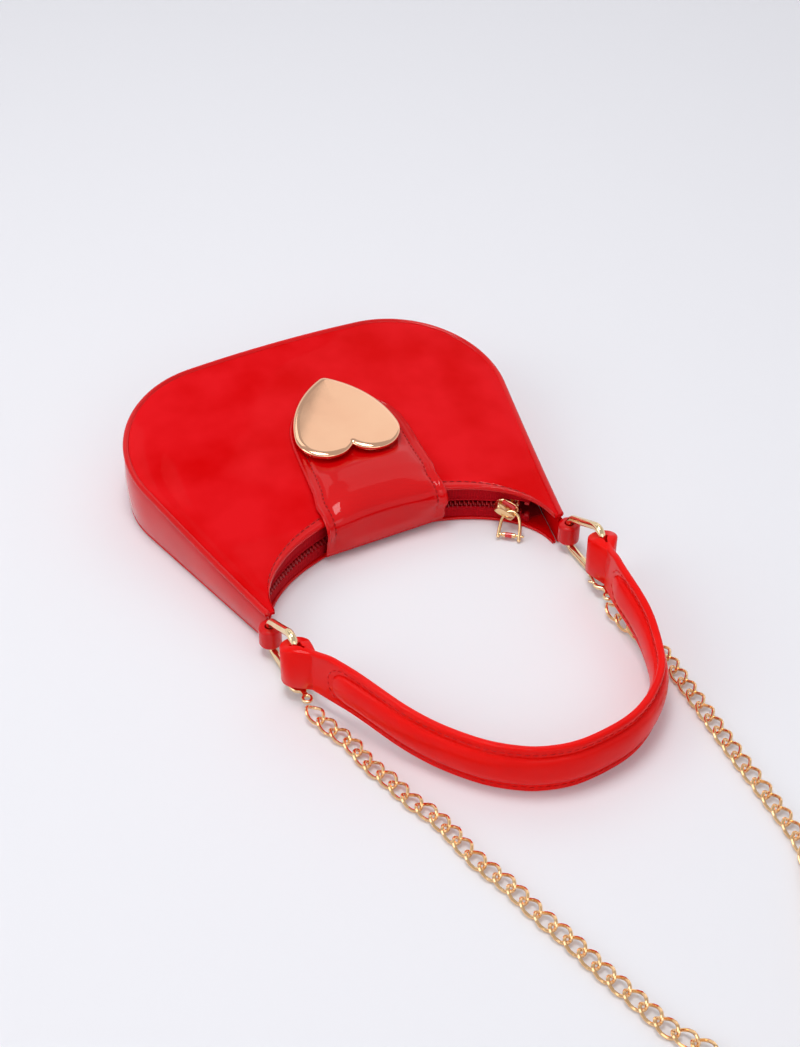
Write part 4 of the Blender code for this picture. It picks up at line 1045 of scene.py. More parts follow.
@dataclass
class Handle:
    """Flat vinyl handle that stands on edge, with a padded middle and a loop at each end."""

    ring: Ring
    wall: float = 0.0030
    height: float = 0.0225
    end_height: float = 0.0199
    end_bottom: float = 0.0066
    bottom: float = 0.0010
    reach: float = 0.0925
    loop_radius: float = 0.0061
    loop_bore: float = 0.0021
    loop_tail: float = 0.0080
    pad_wall: float = 0.0012
    pad_margin: float = 0.0042
    pad_inset: float = 0.0146
    pad_swell: float = 0.0007
    edge_bend: float = 0.0011
    face_dip: float = 0.00022
    dip_from_edge: float = 0.0026
    loop_overrun: float = 0.0018
    loop_slope: float = 0.25
    loop_run: float = 0.009
    loop_lowered: float = 0.0013
    loop_raised: float = 0.0010
    loop_least_wall: float = 0.0009
    loop_bend: float = 0.0007
    loop_arc: Pair = (-68, -292)
    stitch: Stitch = Stitch(0.0021, 0.0010, 0.00022)
    stitch_from_pad: float = 0.0022
    stitch_rise: float = 0.0016
    run_in: float = 0.0031
    raised: float = 0.08
    lowered: float = 0.27
    right_shares: Pairs = (
        (0.92, 0.25), (0.886, 0.476), (0.836, 0.616), (0.757, 0.751), (0.657, 0.843), (0.514, 0.924),
        (0.357, 0.976), (0.165, 1.0), (0.0, 1.0),
    )
    left_shares: Pairs = (
        (-0.143, 0.973), (-0.257, 0.93), (-0.386, 0.852), (-0.493, 0.757), (-0.607, 0.627),
        (-0.707, 0.497), (-0.814, 0.324),
    )

    def __post_init__(self) -> None:
        """Works out the strap's middle line, its lengths and the directions to its left."""
        self.path = self.line()
        self.lengths = line_lengths(self.path)
        self.sides = [Vector((-h.y, h.x)) for h in headings(self.path)]

    def spot(self, share: Pair) -> Vector:
        """Plan place from shares of the ring's x and of the handle's reach."""
        loop_y = self.ring.tab_y - self.ring.pitch
        return Vector((share[0] * self.ring.x, loop_y - share[1] * self.reach))

    def heading(self, side: Side) -> Vector:
        """Direction in which the strap leaves a loop."""
        share = self.right_shares[0] if side is Side.RIGHT else self.left_shares[-1]
        return (self.spot(share) - self.spot((side.value, 0))).normalized()

    def line(self) -> list[Vector]:
        """The strap's middle in plan, right end first.

        Returns:
            Its points, evenly spaced.
        """
        start = self.loop_tail + 0.0003 - self.run_in
        ends = [self.spot((s.value, 0)) + self.heading(s) * start for s in (Side.RIGHT, Side.LEFT)]
        spots = [self.spot(s) for s in self.right_shares + self.left_shares]
        return smooth_line([ends[0], *spots, ends[1]], 0.0016)

    def low(self, from_end: float) -> float:
        """Height of the lower edge at a distance from the nearer end."""
        lowered = ease(from_end, self.raised * self.lengths[-1], self.lowered * self.lengths[-1])
        return self.end_bottom + (self.bottom - self.end_bottom) * lowered

    def high(self, from_end: float) -> float:
        """Height of the upper edge at a distance from the nearer end."""
        grown = (self.height - self.end_height) * ease(from_end, self.run_in * 0.5, self.pad_inset)
        return self.low(from_end) + self.end_height + grown

    def build(self) -> None:
        """Makes the strap, both pads, the stitches and the loops."""
        rings = []
        for place, side, at in zip(self.path, self.sides, self.lengths):
            from_end = min(at, self.lengths[-1] - at)
            low, high = self.low(from_end), self.high(from_end)
            rings.append([Vector((*(place + side * out), low + (high - low) * up))
                          for out, up in self.strap_section(high - low)])
        dress(loft("handle_strap_skin", rings, sharp=60), HANDLE_VINYL, "handle", "handle_strap")
        self.build_pads()
        self.build_stitches()
        for side in Side:
            self.build_loop(side)

    def strap_section(self, height: float) -> list[Pair]:
        """Offsets and height shares round the strap's section, with its painted edges rounded.

        Args:
            height: of the strap there.

        Returns:
            Pairs of an offset to the left and a share of the height.
        """
        half, bend = self.wall / 2, self.edge_bend
        points = []
        for centre_up, start in ((height - bend, 0), (bend, math.pi)):
            for a in spaced(start, start + math.pi, 8):
                out = math.cos(a) * bend + math.copysign(half - bend, math.cos(a))
                points.append((out, (centre_up + bend * math.sin(a)) / height))
        dip, near = half - self.face_dip, self.dip_from_edge / height
        points[9:9] = [(-dip, 1 - near), (-half * 0.99, 0.5), (-dip, near)]
        return points + [(dip, near), (half * 0.99, 0.5), (dip, 1 - near)]

    def patch(self, inset: float, margin: float) -> list[tuple[int, float, float, float, float]]:
        """Measures of a round-ended patch on the strap.

        Args:
            inset: how far from the strap's ends the patch ends.
            margin: how far from the strap's edges it stays.

        Returns:
            For each point of the path that it covers: the point's number, the distance from the patch's
            nearer end, its middle's height, its half height, and the square of the share of the half
            height that its round end leaves.
        """
        found = []
        for i, at in enumerate(self.lengths):
            if inset <= at <= self.lengths[-1] - inset:
                from_end = min(at, self.lengths[-1] - at)
                low, high = self.low(from_end) + margin, self.high(from_end) - margin
                near, half = from_end - inset, (high - low) / 2
                found.append((i, near, (low + high) / 2, half, 1 - (1 - min(near / half, 1)) ** 2))
        return found

    def build_pads(self) -> None:
        """Makes the padded middle of both faces, crowned and pinched by its seam."""
        rim = self.wall / 2 + 0.0001
        for name, sign in (("outer", 1), ("inner", -1)):
            rings = []
            for i, near, middle, half, round_end in self.patch(self.pad_inset, self.pad_margin):
                out = self.sides[i] * sign
                reach = half * math.sqrt(max(0.02, round_end))
                swell = (self.pad_wall + self.pad_swell) * math.sqrt(min(1, near / (half * 1.2) + 0.02))
                ring = []
                for share in spaced(-1, 1, 12):
                    crown = (1 - abs(share) ** 2.6) ** 0.75
                    ring.append(Vector((*(self.path[i] + out * (rim + swell * crown)), middle + reach * share)))
                back = self.path[i] + out * (rim - 0.0006)
                ring += [Vector((*back, middle + reach * s)) for s in (1, -1)]
                rings.append(ring)
            dress(loft(f"handle_pad_{name}_skin", rings, sharp=70), HANDLE_VINYL, "handle", f"handle_pad_{name}")

    def build_stitches(self) -> None:
        """Sews a line of stitches above and below each pad and round its ends."""
        covered = self.patch(self.pad_inset - self.stitch_from_pad, self.pad_margin - self.stitch_rise)
        parts = []
        for sign in (1, -1):
            edge: dict[int, list[Vector]] = {1: [], -1: []}
            for i, _, middle, half, round_end in covered:
                reach = half * math.sqrt(max(0.0, round_end))
                out = self.path[i] + self.sides[i] * sign * (self.wall / 2 - 0.00012)
                for way in (1, -1):
                    edge[way].append(Vector((*out, middle + way * reach)))
            seam = edge[1] + edge[-1][::-1]
            flat = {tuple(p): self.sides[min(covered, key=lambda row: (self.path[row[0]] - p.xy).length)[0]]
                    for p in seam}

            def out_of(place: Vector, sign: int = sign, flat: dict = flat) -> Vector:
                """Direction out of the strap's face near a place on the seam."""
                near = min(flat, key=lambda p: (Vector(p) - place).length)
                return Vector((*(flat[near] * sign), 0))

            parts += self.stitch.sew(seam, out_of)
        dress(loft_many("handle_stitches", parts), HANDLE_THREAD, "handle")

    def build_loop(self, side: Side) -> None:
        """Makes the teardrop loop that goes round the ring's leg.

        Args:
            side: the end of the handle.
        """
        centre, heading = self.spot((side.value, 0)), self.heading(side)
        across = Vector((-heading.y, heading.x))
        tail = centre + heading * (self.loop_tail + self.loop_overrun)
        half = self.wall / 2 - 0.00015
        arc = [math.radians(degrees) for degrees in spaced(*self.loop_arc, 24)]
        outer = [tail - across * half, *(centre + (heading * math.cos(a) + across * math.sin(a)) * self.loop_radius
                                         for a in arc), tail + across * half]
        path = even_line([Vector((*p, 0)) for p in outer], 0.0009)
        low, bend = self.end_bottom, self.loop_bend
        wall = self.loop_radius - self.loop_bore
        rings = []
        for spot, ahead in zip(path, headings(path)):
            inward = Vector((ahead.y, -ahead.x, 0))
            if (Vector((*centre, 0)) - spot).dot(inward) < 0:
                inward = -inward
            thick = min(wall, max(self.loop_least_wall, self.inner_reach(spot, centre, heading, across)))
            along = (spot.xy - centre).dot(heading)
            run = ease(along, 0.0, self.loop_run)
            high = low + self.end_height - self.loop_lowered + self.loop_raised * run
            high -= self.loop_slope * (spot.y - centre.y) * (1 - run)
            middle = (low + high) / 2
            section = ((bend, high), (0, high - bend), (0, middle), (0, low + bend), (bend, low), (thick, low),
                       (thick, middle), (thick, high))
            rings.append([spot + inward * out + Vector((0, 0, up)) for out, up in section])
        obj = loft(f"handle_loop_{side.word}_skin", rings, sharp=50)
        dress(obj, HANDLE_VINYL, "handle", f"handle_loop_{side.word}")

    def inner_reach(self, spot: Vector, centre: Vector, heading: Vector, across: Vector) -> float:
        """Thickness of the loop's vinyl at a place on its outer face.

        Args:
            spot: the place.
            centre: the middle of the ring's leg.
            heading: direction of the strap there.
            across: the direction square to it.

        Returns:
            How far in the vinyl may reach.
        """
        local = Vector((spot.x, spot.y)) - centre
        along = local.dot(heading)
        if along < self.loop_bore:
            return self.loop_radius - self.loop_bore
        return abs(local.dot(across)) - 0.00005


# Body
@dataclass
class BodyShell:
    """Vinyl panels, gusset, rolled rims, hems with their stitches, and the lining."""

    width: float = 0.180
    height: float = 0.147
    corner_radius: float = 0.051
    base_radius: float = 0.600
    lean: float = math.radians(12.6)
    horn_depth: float = 0.0168
    base_rise: float = 0.0203
    rise_power: float = 1.3
    crown: float = 0.0030
    crown_skew: float = 0.80
    wall: float = 0.0014
    piping: float = 0.0014
    panel_drop: float = 0.0009
    seam_gap: float = 0.0003
    horn_width: float = 0.0046
    horn_panel_share: float = 0.6
    hem_width: float = 0.006
    front_mouth: float = 0.0385
    back_mouth: float = 0.0395
    lining_wall: float = 0.0006
    lining_slack: float = 0.0005
    lining_from_zip: float = 0.0013
    stations: int = 168
    across: int = 22
    back_rise: float = 0.0004
    panel_tuck: float = 0.0007
    gusset_foot: float = 0.0007
    gusset_swell: float = 0.0010
    back_rim_thinner: float = 0.0005
    rim_tip: float = 0.0005
    lining_crease: float = 0.00012
    hem_raise: float = 0.0009
    hem_bend: float = 0.0011
    hem_dip: float = 0.00034
    hem_seam: float = 0.74
    hem_thread_rise: float = 0.00068
    stitch: Stitch = Stitch(0.0023, 0.0009, 0.00022)
    zip_sag: float = 0.0258
    zip_end_inset: float = 0.0024
    zip_set_in: float = 0.0035

    def zip_circle(self) -> tuple[float, float, float]:
        """The circle that the zip lies on: its radius, its centre's y and the zip's half angle.

        Returns:
            The three measures.
        """
        chord = self.mouth_half_width() - self.zip_end_inset
        radius = (chord**2 + self.zip_sag**2) / (2 * self.zip_sag)
        return radius, self.front_mouth + self.zip_set_in - radius, math.asin(chord / radius)

    def corner_centre(self) -> Vector:
        """Centre of the right bottom corner's arc.

        Returns:
            Its place in plan.
        """
        x = self.width / 2 - self.corner_radius
        reach = self.base_radius - self.corner_radius
        return Vector((x, self.height - self.base_radius + math.sqrt(reach**2 - x**2)))

    def side_x(self, y: float, inset: float) -> float:
        """Half width of the body at a place down its straight side.

        Args:
            y: the place.
            inset: how far inside the body's outline.

        Returns:
            The distance from the bag's middle line.
        """
        radius = self.corner_radius - inset
        foot = self.corner_centre() + polar(-self.lean, radius)
        return foot.x - (foot.y - y) * math.tan(self.lean)

    def outline(self, inset: float, top_y: float, spacing: int | None = None) -> list[Vector]:
        """The U of the body from its left top corner round the base to the right one.

        Args:
            inset: how far inside the body's outline.
            top_y: where it starts.
            spacing: how many steps, or None for the usual.

        Returns:
            Its points in plan, evenly spaced.
        """
        centre = self.corner_centre()
        radius = self.corner_radius - inset
        base = Vector((0, self.height - self.base_radius))
        meet = math.atan2(centre.y - base.y, centre.x)
        half = [Vector((self.side_x(top_y, inset), top_y))]
        for a in np.linspace(-self.lean, meet, 60):
            half.append(centre + polar(a, radius))
        for a in np.linspace(meet, math.pi / 2, 40)[1:]:
            half.append(base + polar(a, self.base_radius - inset))
        whole = [Vector((-p.x, p.y)) for p in half] + half[-2::-1]
        steps = spacing or self.stations
        return even_line(whole, line_lengths(whole)[-1] / steps)

    def mouth_half_width(self) -> float:
        """Half width of the mouth."""
        return self.side_x(0, 0) - self.horn_width

    def hem_half_width(self) -> float:
        """Half width of the seam line outside the hem."""
        inner = self.horn_width - 2 * self.piping - self.seam_gap
        return self.mouth_half_width() + inner * self.horn_panel_share / 2

    def mouth(self, half_width: float, depth: float, steps: int | None = None) -> list[Vector]:
        """The half ellipse of a mouth, left to right."""
        angles = spaced(0, math.pi, steps or self.stations)
        return [Vector((-half_width * math.cos(a), depth * math.sin(a))) for a in angles]

    def mouth_y(self, x: float) -> float:
        """Where the front mouth's edge is at a place across."""
        return self.front_mouth * math.sqrt(max(0, 1 - (x / self.mouth_half_width()) ** 2))

    def rim_z(self, y: float) -> float:
        """Top of the front rim."""
        return self.horn_depth + self.base_rise * (max(y, 0) / self.height) ** self.rise_power

    def front_top(self, x: float, y: float) -> float:
        """Outer face of the front panel, gently crowned.

        Args:
            x: place across.
            y: place down the bag.

        Returns:
            Its height.
        """
        along = min(max((y - self.front_mouth) / (self.height - self.front_mouth), 0), 1)
        over = max(0, 1 - (2 * x / self.width) ** 2)
        crown = self.crown * math.sin(math.pi * along**self.crown_skew) * over
        return self.rim_z(y) - self.panel_drop + crown

    def front_skin(self, x: float, y: float, from_rim: float, from_mouth: float) -> float:
        """The front panel's face with the soft hollows of thin vinyl over padding.

        Args:
            x: place across.
            y: place down the bag.
            from_rim: distance from the rolled rim.
            from_mouth: distance from the mouth's hem.

        Returns:
            Its height.
        """
        roll = -fade(from_rim, 0.0002, 0.0016) - fade(from_mouth, 0.0002, 0.0012)
        swell = 0.0004 * ease(from_rim, 0.002, 0.014)
        left_edge = ridge(from_rim - 0.018, 0.00030, 0.007) * ease(-x, 0.02, 0.05)
        soft = 0.00016 * math.sin(41 * x + 1.3) * math.sin(37 * y + 0.4 + 13 * x)
        return self.front_top(x, y) + roll + swell - left_edge + soft * ease(from_rim, 0.003, 0.02)

    def build(self) -> None:
        """Makes every piece of the body."""
        self.build_front()
        self.build_back()
        self.build_hems()
        self.build_gusset()
        self.build_rims()
        self.build_linings()

    def build_front(self) -> None:
        """Makes the front panel."""
        outer = self.outline(2 * self.piping - self.panel_tuck, 0)
        inner = self.mouth(self.hem_half_width() - 0.0003, self.front_mouth + self.hem_width - 0.0006,
                           len(outer) - 1)
        top, under = [], []
        shares = [0.5 - 0.5 * math.cos(a) for a in spaced(0, math.pi, self.across)]
        for a, b in zip(inner, outer):
            reach = (b - a).length
            places = [a.lerp(b, s) for s in shares]
            tops = [self.front_skin(p.x, p.y, reach * (1 - s), reach * s) for p, s in zip(places, shares)]
            top.append([(p.x, p.y, z) for p, z in zip(places, tops)])
            under.append([(p.x, p.y, z - self.wall) for p, z in zip(places, tops)])
        dress(sheet_solid("front_panel_skin", top, under), PATENT_FLAT, "bag", "front_panel")

    def build_back(self) -> None:
        """Makes the flat back panel that the bag rests on."""
        outer = self.outline(2 * self.piping + 0.0001, 0)
        step = self.seam_gap / 2
        inner = self.mouth(self.hem_half_width() + step, self.back_mouth + self.hem_width + self.seam_gap,
                           len(outer) - 1)
        top, under = [], []
        for a, b in zip(inner, outer):
            places = [a.lerp(b, share) for share in spaced(0, 1, 10)]
            top.append([(p.x, p.y, self.wall) for p in places])
            rises = [self.back_rise * share**6 for share in spaced(-1, 1, 10)]
            under.append([(p.x, p.y, z) for p, z in zip(places, rises)])
        dress(sheet_solid("back_panel_skin", top, under), PATENT, "bag", "back_panel")

    def build_hems(self) -> None:
        """Makes the turned hem of both mouths, with its rounded edge, and sews it."""
        parts = []
        for name, depth, face in (("front", self.front_mouth, self.front_top),
                                  ("back", self.back_mouth, lambda x, y: self.wall)):
            inner = self.mouth(self.mouth_half_width(), depth)
            outer = self.mouth(self.hem_half_width() - self.seam_gap / 2, depth + self.hem_width)
            rings = []
            for a, b in zip(inner, outer):
                ring = []
                bend = min(self.hem_bend, (b - a).length / 4)
                way = (b - a).normalized()
                raised = self.hem_raise * (name == "front")
                for turn in spaced(0, math.pi, 6):
                    p = a + way * bend * (1 - math.sin(turn))
                    sink = (self.wall + raised) / 2 * (1 + math.cos(turn))
                    ring.append((p.x, p.y, face(p.x, p.y) + raised - sink))
                for share in (0.25, 0.5, 0.72, 0.86, 0.95, 1.0):
                    p = a.lerp(b, share)
                    dip = ridge(share - self.hem_seam, self.hem_dip, 0.10)
                    dip += 0.0012 * ease(share, 0.9, 1.0)
                    ring.append((p.x, p.y, face(p.x, p.y) + (self.hem_raise - dip) * (name == "front")))
                for share in (1.0, 0.5):
                    p = a.lerp(b, share)
                    ring.append((p.x, p.y, face(p.x, p.y) - self.wall))
                rings.append(ring)
            dress(loft(f"{name}_hem", rings, sharp=60), PATENT, "bag", f"{name}_mouth_binding")
            if name == "front":
                seam = [a.lerp(b, self.hem_seam) for a, b in zip(inner, outer) if (b - a).length > 0.002]
                seam = [Vector((*p, face(p.x, p.y) + self.hem_thread_rise)) for p in seam]
                parts += self.stitch.sew(seam, lambda p: Vector((0, 0, 1)))
        dress(loft_many("hem_stitches", parts), THREAD, "bag")

    def build_gusset(self) -> None:
        """Makes the band between the two rims, softly swollen."""
        inset = self.piping - self.wall / 2
        outer = self.outline(inset, 0)
        ways = headings([Vector((*p, 0)) for p in outer])
        low = self.gusset_foot
        rings = []
        for i, (p, way) in enumerate(zip(outer, ways)):
            outward = Vector((way.y, -way.x)) * (1 if p.x * way.y - p.y * way.x > 0 else -1)
            outward = outward if outward.dot(p - Vector((0, 0.08))) > 0 else -outward
            high = self.rim_z(p.y) - 2 * self.piping - self.seam_gap + 0.0002
            ring, back = [], []
            for share in spaced(0, 1, 12):
                swell = self.gusset_swell * math.sin(math.pi * share) ** 0.8 - fade(share, 0.0004, 0.03)
                swell += 0.00018 * math.sin(i * 0.21) * math.sin(math.pi * share) - fade(1 - share, 0.0005, 0.05)
                q = p + outward * swell
                inner_q = p - outward * self.wall
                z = low + (high - low) * share
                ring.append((q.x, q.y, z))
                back.append((inner_q.x, inner_q.y, z))
            rings.append(ring + back[::-1])
        dress(loft("gusset_band", rings, sharp=60), PATENT_SIDE, "bag", "gusset")

    def build_rims(self) -> None:
        """Makes the rolled rims of both panels, the back one drawn thinner."""
        line = self.outline(self.piping, 0)
        thin = self.piping - self.back_rim_thinner
        back = [Vector((p.x, p.y, thin)) for p in line]
        front = [Vector((p.x, p.y, self.rim_z(p.y) - self.piping)) for p in line]
        for name, path, radius in (("front", front, self.piping), ("back", back, thin)):
            rings = tube_rings(path, radius, 14)
            tips = [[path[k] + (v - path[k]) * 0.6 + (path[k] - path[n]).normalized() * self.rim_tip
                     for v in rings[k]] for k, n in ((0, 1), (-1, -2))]
            dress(loft(f"{name}_rim", [tips[0], *rings, tips[1]]), PATENT, "bag", f"{name}_piping")

    def build_linings(self) -> None:
        """Makes the woven lining of both panels and of the gusset."""
        arc, centre_y, turn = self.zip_circle()
        radius = arc + self.lining_from_zip + self.seam_gap
        top_y = centre_y + radius * math.cos(turn)
        inset = 2 * self.piping + 2 * self.seam_gap + self.lining_wall
        outer = self.outline(inset, top_y, 96)
        inner = [Vector((radius * math.sin(a), centre_y + radius * math.cos(a)))
                 for a in spaced(-turn, turn, len(outer) - 1)]
        shares = spaced(0, 1, 14)
        for name, sign in (("front", -1), ("back", 1)):
            top, under = [], []
            for a, b in zip(inner, outer):
                places = [a.lerp(b, share) for share in shares]
                faces = []
                for share, p in zip(shares, places):
                    crease = self.lining_crease * (1 + math.sin(160 * p.x + 90 * p.y)) * math.sin(math.pi * share)
                    if sign < 0:
                        faces.append(self.front_top(p.x, p.y) - self.wall - self.seam_gap
                                     - self.lining_slack + crease)
                    else:
                        faces.append(self.wall + self.seam_gap + self.lining_wall + crease)
                top.append([(p.x, p.y, z) for p, z in zip(places, faces)])
                under.append([(p.x, p.y, z - self.lining_wall) for p, z in zip(places, faces)])
            dress(sheet_solid(f"lining_{name}_cloth", top, under), LINING, "bag", f"lining_{name}")
        wall_inset = self.piping + self.wall / 2 + self.seam_gap
        outside = self.outline(wall_inset, top_y, 96)
        inside = self.outline(wall_inset + self.lining_wall, top_y, 96)
        low = 2 * self.piping + 2 * self.seam_gap
        rings = []
        for a, b in zip(outside, inside):
            high = self.rim_z(a.y) - 2 * self.piping - 2 * self.seam_gap
            levels = spaced(low, high, 6)
            rings.append([(a.x, a.y, z) for z in levels] + [(b.x, b.y, z) for z in levels[::-1]])
        dress(loft("lining_gusset_cloth", rings, sharp=60), LINING, "bag", "lining_gusset")


# Zip
@dataclass
class Zip:
    """Coil zip that arches along the mouth, with its slider, enamelled bridge and horseshoe puller."""

    shell: BodyShell
    z: float = 0.009
    tape_wall: float = 0.0008
    pitch: float = 0.0020
    tooth_height: float = 0.0015
    tooth_depth: float = 0.0026
    row_spread: float = 0.0022
    slider_from_end: float = 0.0102
    slider_length: float = 0.0110
    slider_height: float = 0.0090
    slider_plate: float = 0.0010
    slider_gap: float = 0.0004
    narrowing: float = 0.28
    slider_roll: float = math.radians(32)
    bridge_width: float = 0.0034
    bridge_span: float = 0.0096
    bridge_wall: float = 0.0010
    bridge_opening: float = 0.0028
    puller_wire: float = 0.0016
    puller_length: float = 0.0128
    puller_root: tuple[float, float, float] = (0.0026, 0.0017, 0.0014)
    puller_lean: float = math.radians(50)
    stop_length: float = 0.0022
    stop_height: float = 0.0033
    gap: float = 0.0003
    tape_profile: Pairs = (
        (0.0, 0.5), (0.10, 1.15), (0.2, 1.0), (0.24, 0.5), (0.45, 0.5), (0.7, 0.5), (1.0, 0.5),
    )
    tooth_profile: Pairs = (
        (0, 0.78), (0.25, 0.9), (0.6, 0.85), (0.82, 1.12), (0.95, 1.0), (1.0, 0.6),
    )
    tooth_overlap: float = 0.00055
    tooth_slant: float = 0.00022
    shield_profile: Pairs = (
        (0.0, 0.0005), (-0.00015, 0.00015), (-0.0004, 0), (-0.0007, 0), (-0.0010, 0.0004),
    )
    enamel_profile: Pairs = (
        (0.0001, 0.0), (0.0009, 0.0), (0.0012, 0.0003), (0.0013, 0.0007),
    )
    wedge_x: float = 0.0024
    wedge_half: Pair = (0.0019, 0.0009)
    enamel_spot: Pair = (-0.0002, 0.0029)
    enamel_half: Pair = (0.0034, 0.0011)
    pin_ends: Pair = (-0.0052, 0.0066)
    inlay_ends: Pair = (-0.0017, 0.0015)
    roller_ends: Pair = (-0.0030, 0.0028)
    pin_radius: float = 0.00055
    roller_radius: float = 0.0011
    inlay_radius: float = 0.00122

    def __post_init__(self) -> None:
        """Takes the zip's circle from the body and sets the slider on it."""
        self.radius, self.centre_y, self.half_angle = self.shell.zip_circle()
        self.slider_angle = self.half_angle - self.slider_from_end / self.radius

    def at(self, angle: float, radius: float, z: float) -> Vector:
        """A place from its angle along the zip, its distance from the circle's centre and its height."""
        return Vector((radius * math.sin(angle), self.centre_y + radius * math.cos(angle), z))

    def spread(self, angle: float) -> float:
        """Half the gap between the two rows: closed left of the slider, open right of it."""
        ramp = self.slider_length / self.radius / 2
        return self.gap / 2 + self.row_spread * ease(angle, self.slider_angle - ramp, self.slider_angle)

    def build(self) -> None:
        """Makes the tapes, the teeth, the stops, the slider and the puller."""
        self.build_tapes()
        self.build_teeth()
        self.build_stops()
        self.build_slider()
        self.build_bridge()
        self.build_puller()

    def build_tapes(self) -> None:
        """Makes both woven tapes, each with the cord that holds its teeth."""
        reach = self.tooth_height + self.gap
        angles = spaced(-self.half_angle, self.half_angle, 140)
        for name, sign in (("front", 1), ("back", -1)):
            rings = []
            for a in angles:
                near = self.z + sign * (self.spread(a) + reach - 0.0004)
                y = self.at(a, self.radius, 0).y
                x = self.radius * math.sin(a)
                if sign > 0:
                    far = self.shell.front_top(x, y) - self.shell.wall - self.gap
                else:
                    far = self.shell.wall + self.gap
                front = [self.at(a, self.radius - self.tape_wall * wide, near + (far - near) * s)
                         for s, wide in self.tape_profile]
                rear = [self.at(a, self.radius + self.tape_wall * wide, near + (far - near) * s)
                        for s, wide in self.tape_profile[::-1]]
                rings.append(front + rear)
            dress(loft(f"zip_tape_{name}_weave", rings, sharp=70), TAPE, "bag", f"zip_tape_{name}")

    def build_teeth(self) -> None:
        """Makes the coil's teeth, one by one, the two rows offset by half a pitch."""
        ends = self.half_angle - (self.stop_length + self.gap) / self.radius
        for name, sign, offset in (("front", 1, 0.0), ("back", -1, 0.5)):
            parts = []
            count = int(2 * ends * self.radius / self.pitch)
            for k in range(count):
                a = -ends + (k + 0.25 + offset) * self.pitch / self.radius
                if a > ends:
                    continue
                base = self.z + sign * (self.spread(a) + self.tooth_height)
                tip = self.z + sign * (self.spread(a) - self.tooth_overlap)
                slant = sign * self.tooth_slant / self.radius
                rings = []
                for share, size in self.tooth_profile:
                    middle = self.at(a + slant * (share - 0.5), self.radius, base + (tip - base) * share)
                    tangent, outward = self.frame_at(a)
                    box = rounded_box(10, self.pitch * 0.24 * size, self.tooth_depth * 0.47, 1.0, 0.7)
                    rings.append([middle + tangent * along + outward * out for along, out in box])
                parts.append(rings)
            dress(loft_many(f"coil_teeth_{name}", parts), COIL_PLASTIC, "bag", f"zip_teeth_{name}")

    def frame_at(self, angle: float) -> tuple[Vector, Vector]:
        """Tangent and outward directions at an angle of the zip."""
        return (Vector((math.cos(angle), -math.sin(angle), 0)), Vector((-math.sin(angle), -math.cos(angle), 0)))

    def block(self, angle: float, half_along: float, half_out: float, low: float, high: float,
              bend: float) -> list[list[Vector]]:
        """Rings of a small rounded block on the zip's line.

        Args:
            angle: its place along the zip.
            half_along: half its length along the zip.
            half_out: half its thickness.
            low: its foot.
            high: its top.
            bend: how far its edges are rounded.

        Returns:
            The rings, from its foot up.
        """
        tangent, outward = self.frame_at(angle)
        middle = self.at(angle, self.radius, 0)
        rings = []
        for z, inset in ((low, bend), (low + bend * 0.3, bend * 0.3), (low + bend, 0), (high - bend, 0),
                         (high - bend * 0.3, bend * 0.3), (high, bend)):
            box = rounded_box(20, half_along - inset, half_out - inset, 0.35, 0.35)
            rings.append([middle + tangent * along + outward * out + Vector((0, 0, z)) for along, out in box])
        return rings

    def build_stops(self) -> None:
        """Makes the moulded end stops."""
        reach = self.stop_length / self.radius
        centre = self.half_angle - reach / 2
        rows = (
            ("zip_stop_left", -centre, -self.stop_height / 2, self.stop_height / 2),
            ("zip_stop_right_front", centre, self.row_spread + self.gap,
             self.row_spread + self.gap + self.tooth_height),
            ("zip_stop_right_back", centre, -self.row_spread - self.gap - self.tooth_height,
             -self.row_spread - self.gap),
        )
        for name, angle, low, high in rows:
            rings = self.block(angle, self.stop_length / 2, self.tooth_depth / 2 + self.gap / 2,
                               self.z + low, self.z + high, 0.0004)
            dress(loft(f"{name}_block", rings), COIL_PLASTIC, "bag", name)

    def on_slider(self, along: float, out: float, up: float) -> Vector:
        """A place given from the middle of the slider's visible face.

        Args:
            along: towards the zip's right end, before the slider's roll.
            out: out of the face.
            up: up the face, before the roll.

        Returns:
            The place on the bag.
        """
        tangent, outward = self.frame_at(self.slider_angle)
        radius = self.radius - self.tooth_depth / 2 - self.slider_gap - self.slider_plate
        face = Vector((0, self.centre_y, self.z)) - outward * radius
        cos, sin = math.cos(self.slider_roll), math.sin(self.slider_roll)
        return face + tangent * (along * cos + up * sin) + outward * out + Vector((0, 0, up * cos - along * sin))

    def build_slider(self) -> None:
        """Makes the slider's two shields, joined by their wedge."""
        half_long, half_high = self.slider_length / 2, self.slider_height / 2
        plates = []
        depth = self.tooth_depth + 2 * self.slider_gap + self.slider_plate
        for shift in (0.0, -depth):
            rings = []
            for out, inset in self.shield_profile:
                ring = []
                for along, up in rounded_box(36, half_long - inset, half_high - inset, 0.5, 0.5):
                    up *= 1 - self.narrowing * (along / half_long) ** 4
                    up *= 1 - 0.16 * ease(-along, -0.002, half_long)
                    bow = along * along / (2 * self.radius)
                    ring.append(self.on_slider(along, out + shift + bow, up))
                rings.append(ring)
            plates.append(rings)
        oval = rounded_box(12, *self.wedge_half)
        wedge = [[self.on_slider(self.wedge_x + along, out, up) for along, up in oval]
                 for out in (-0.0005, -0.0015, -0.0030, -depth + 0.0001)]
        dress(loft_many("slider_shields", [*plates, wedge]), SLIDER_GOLD, "slider", "slider_body")

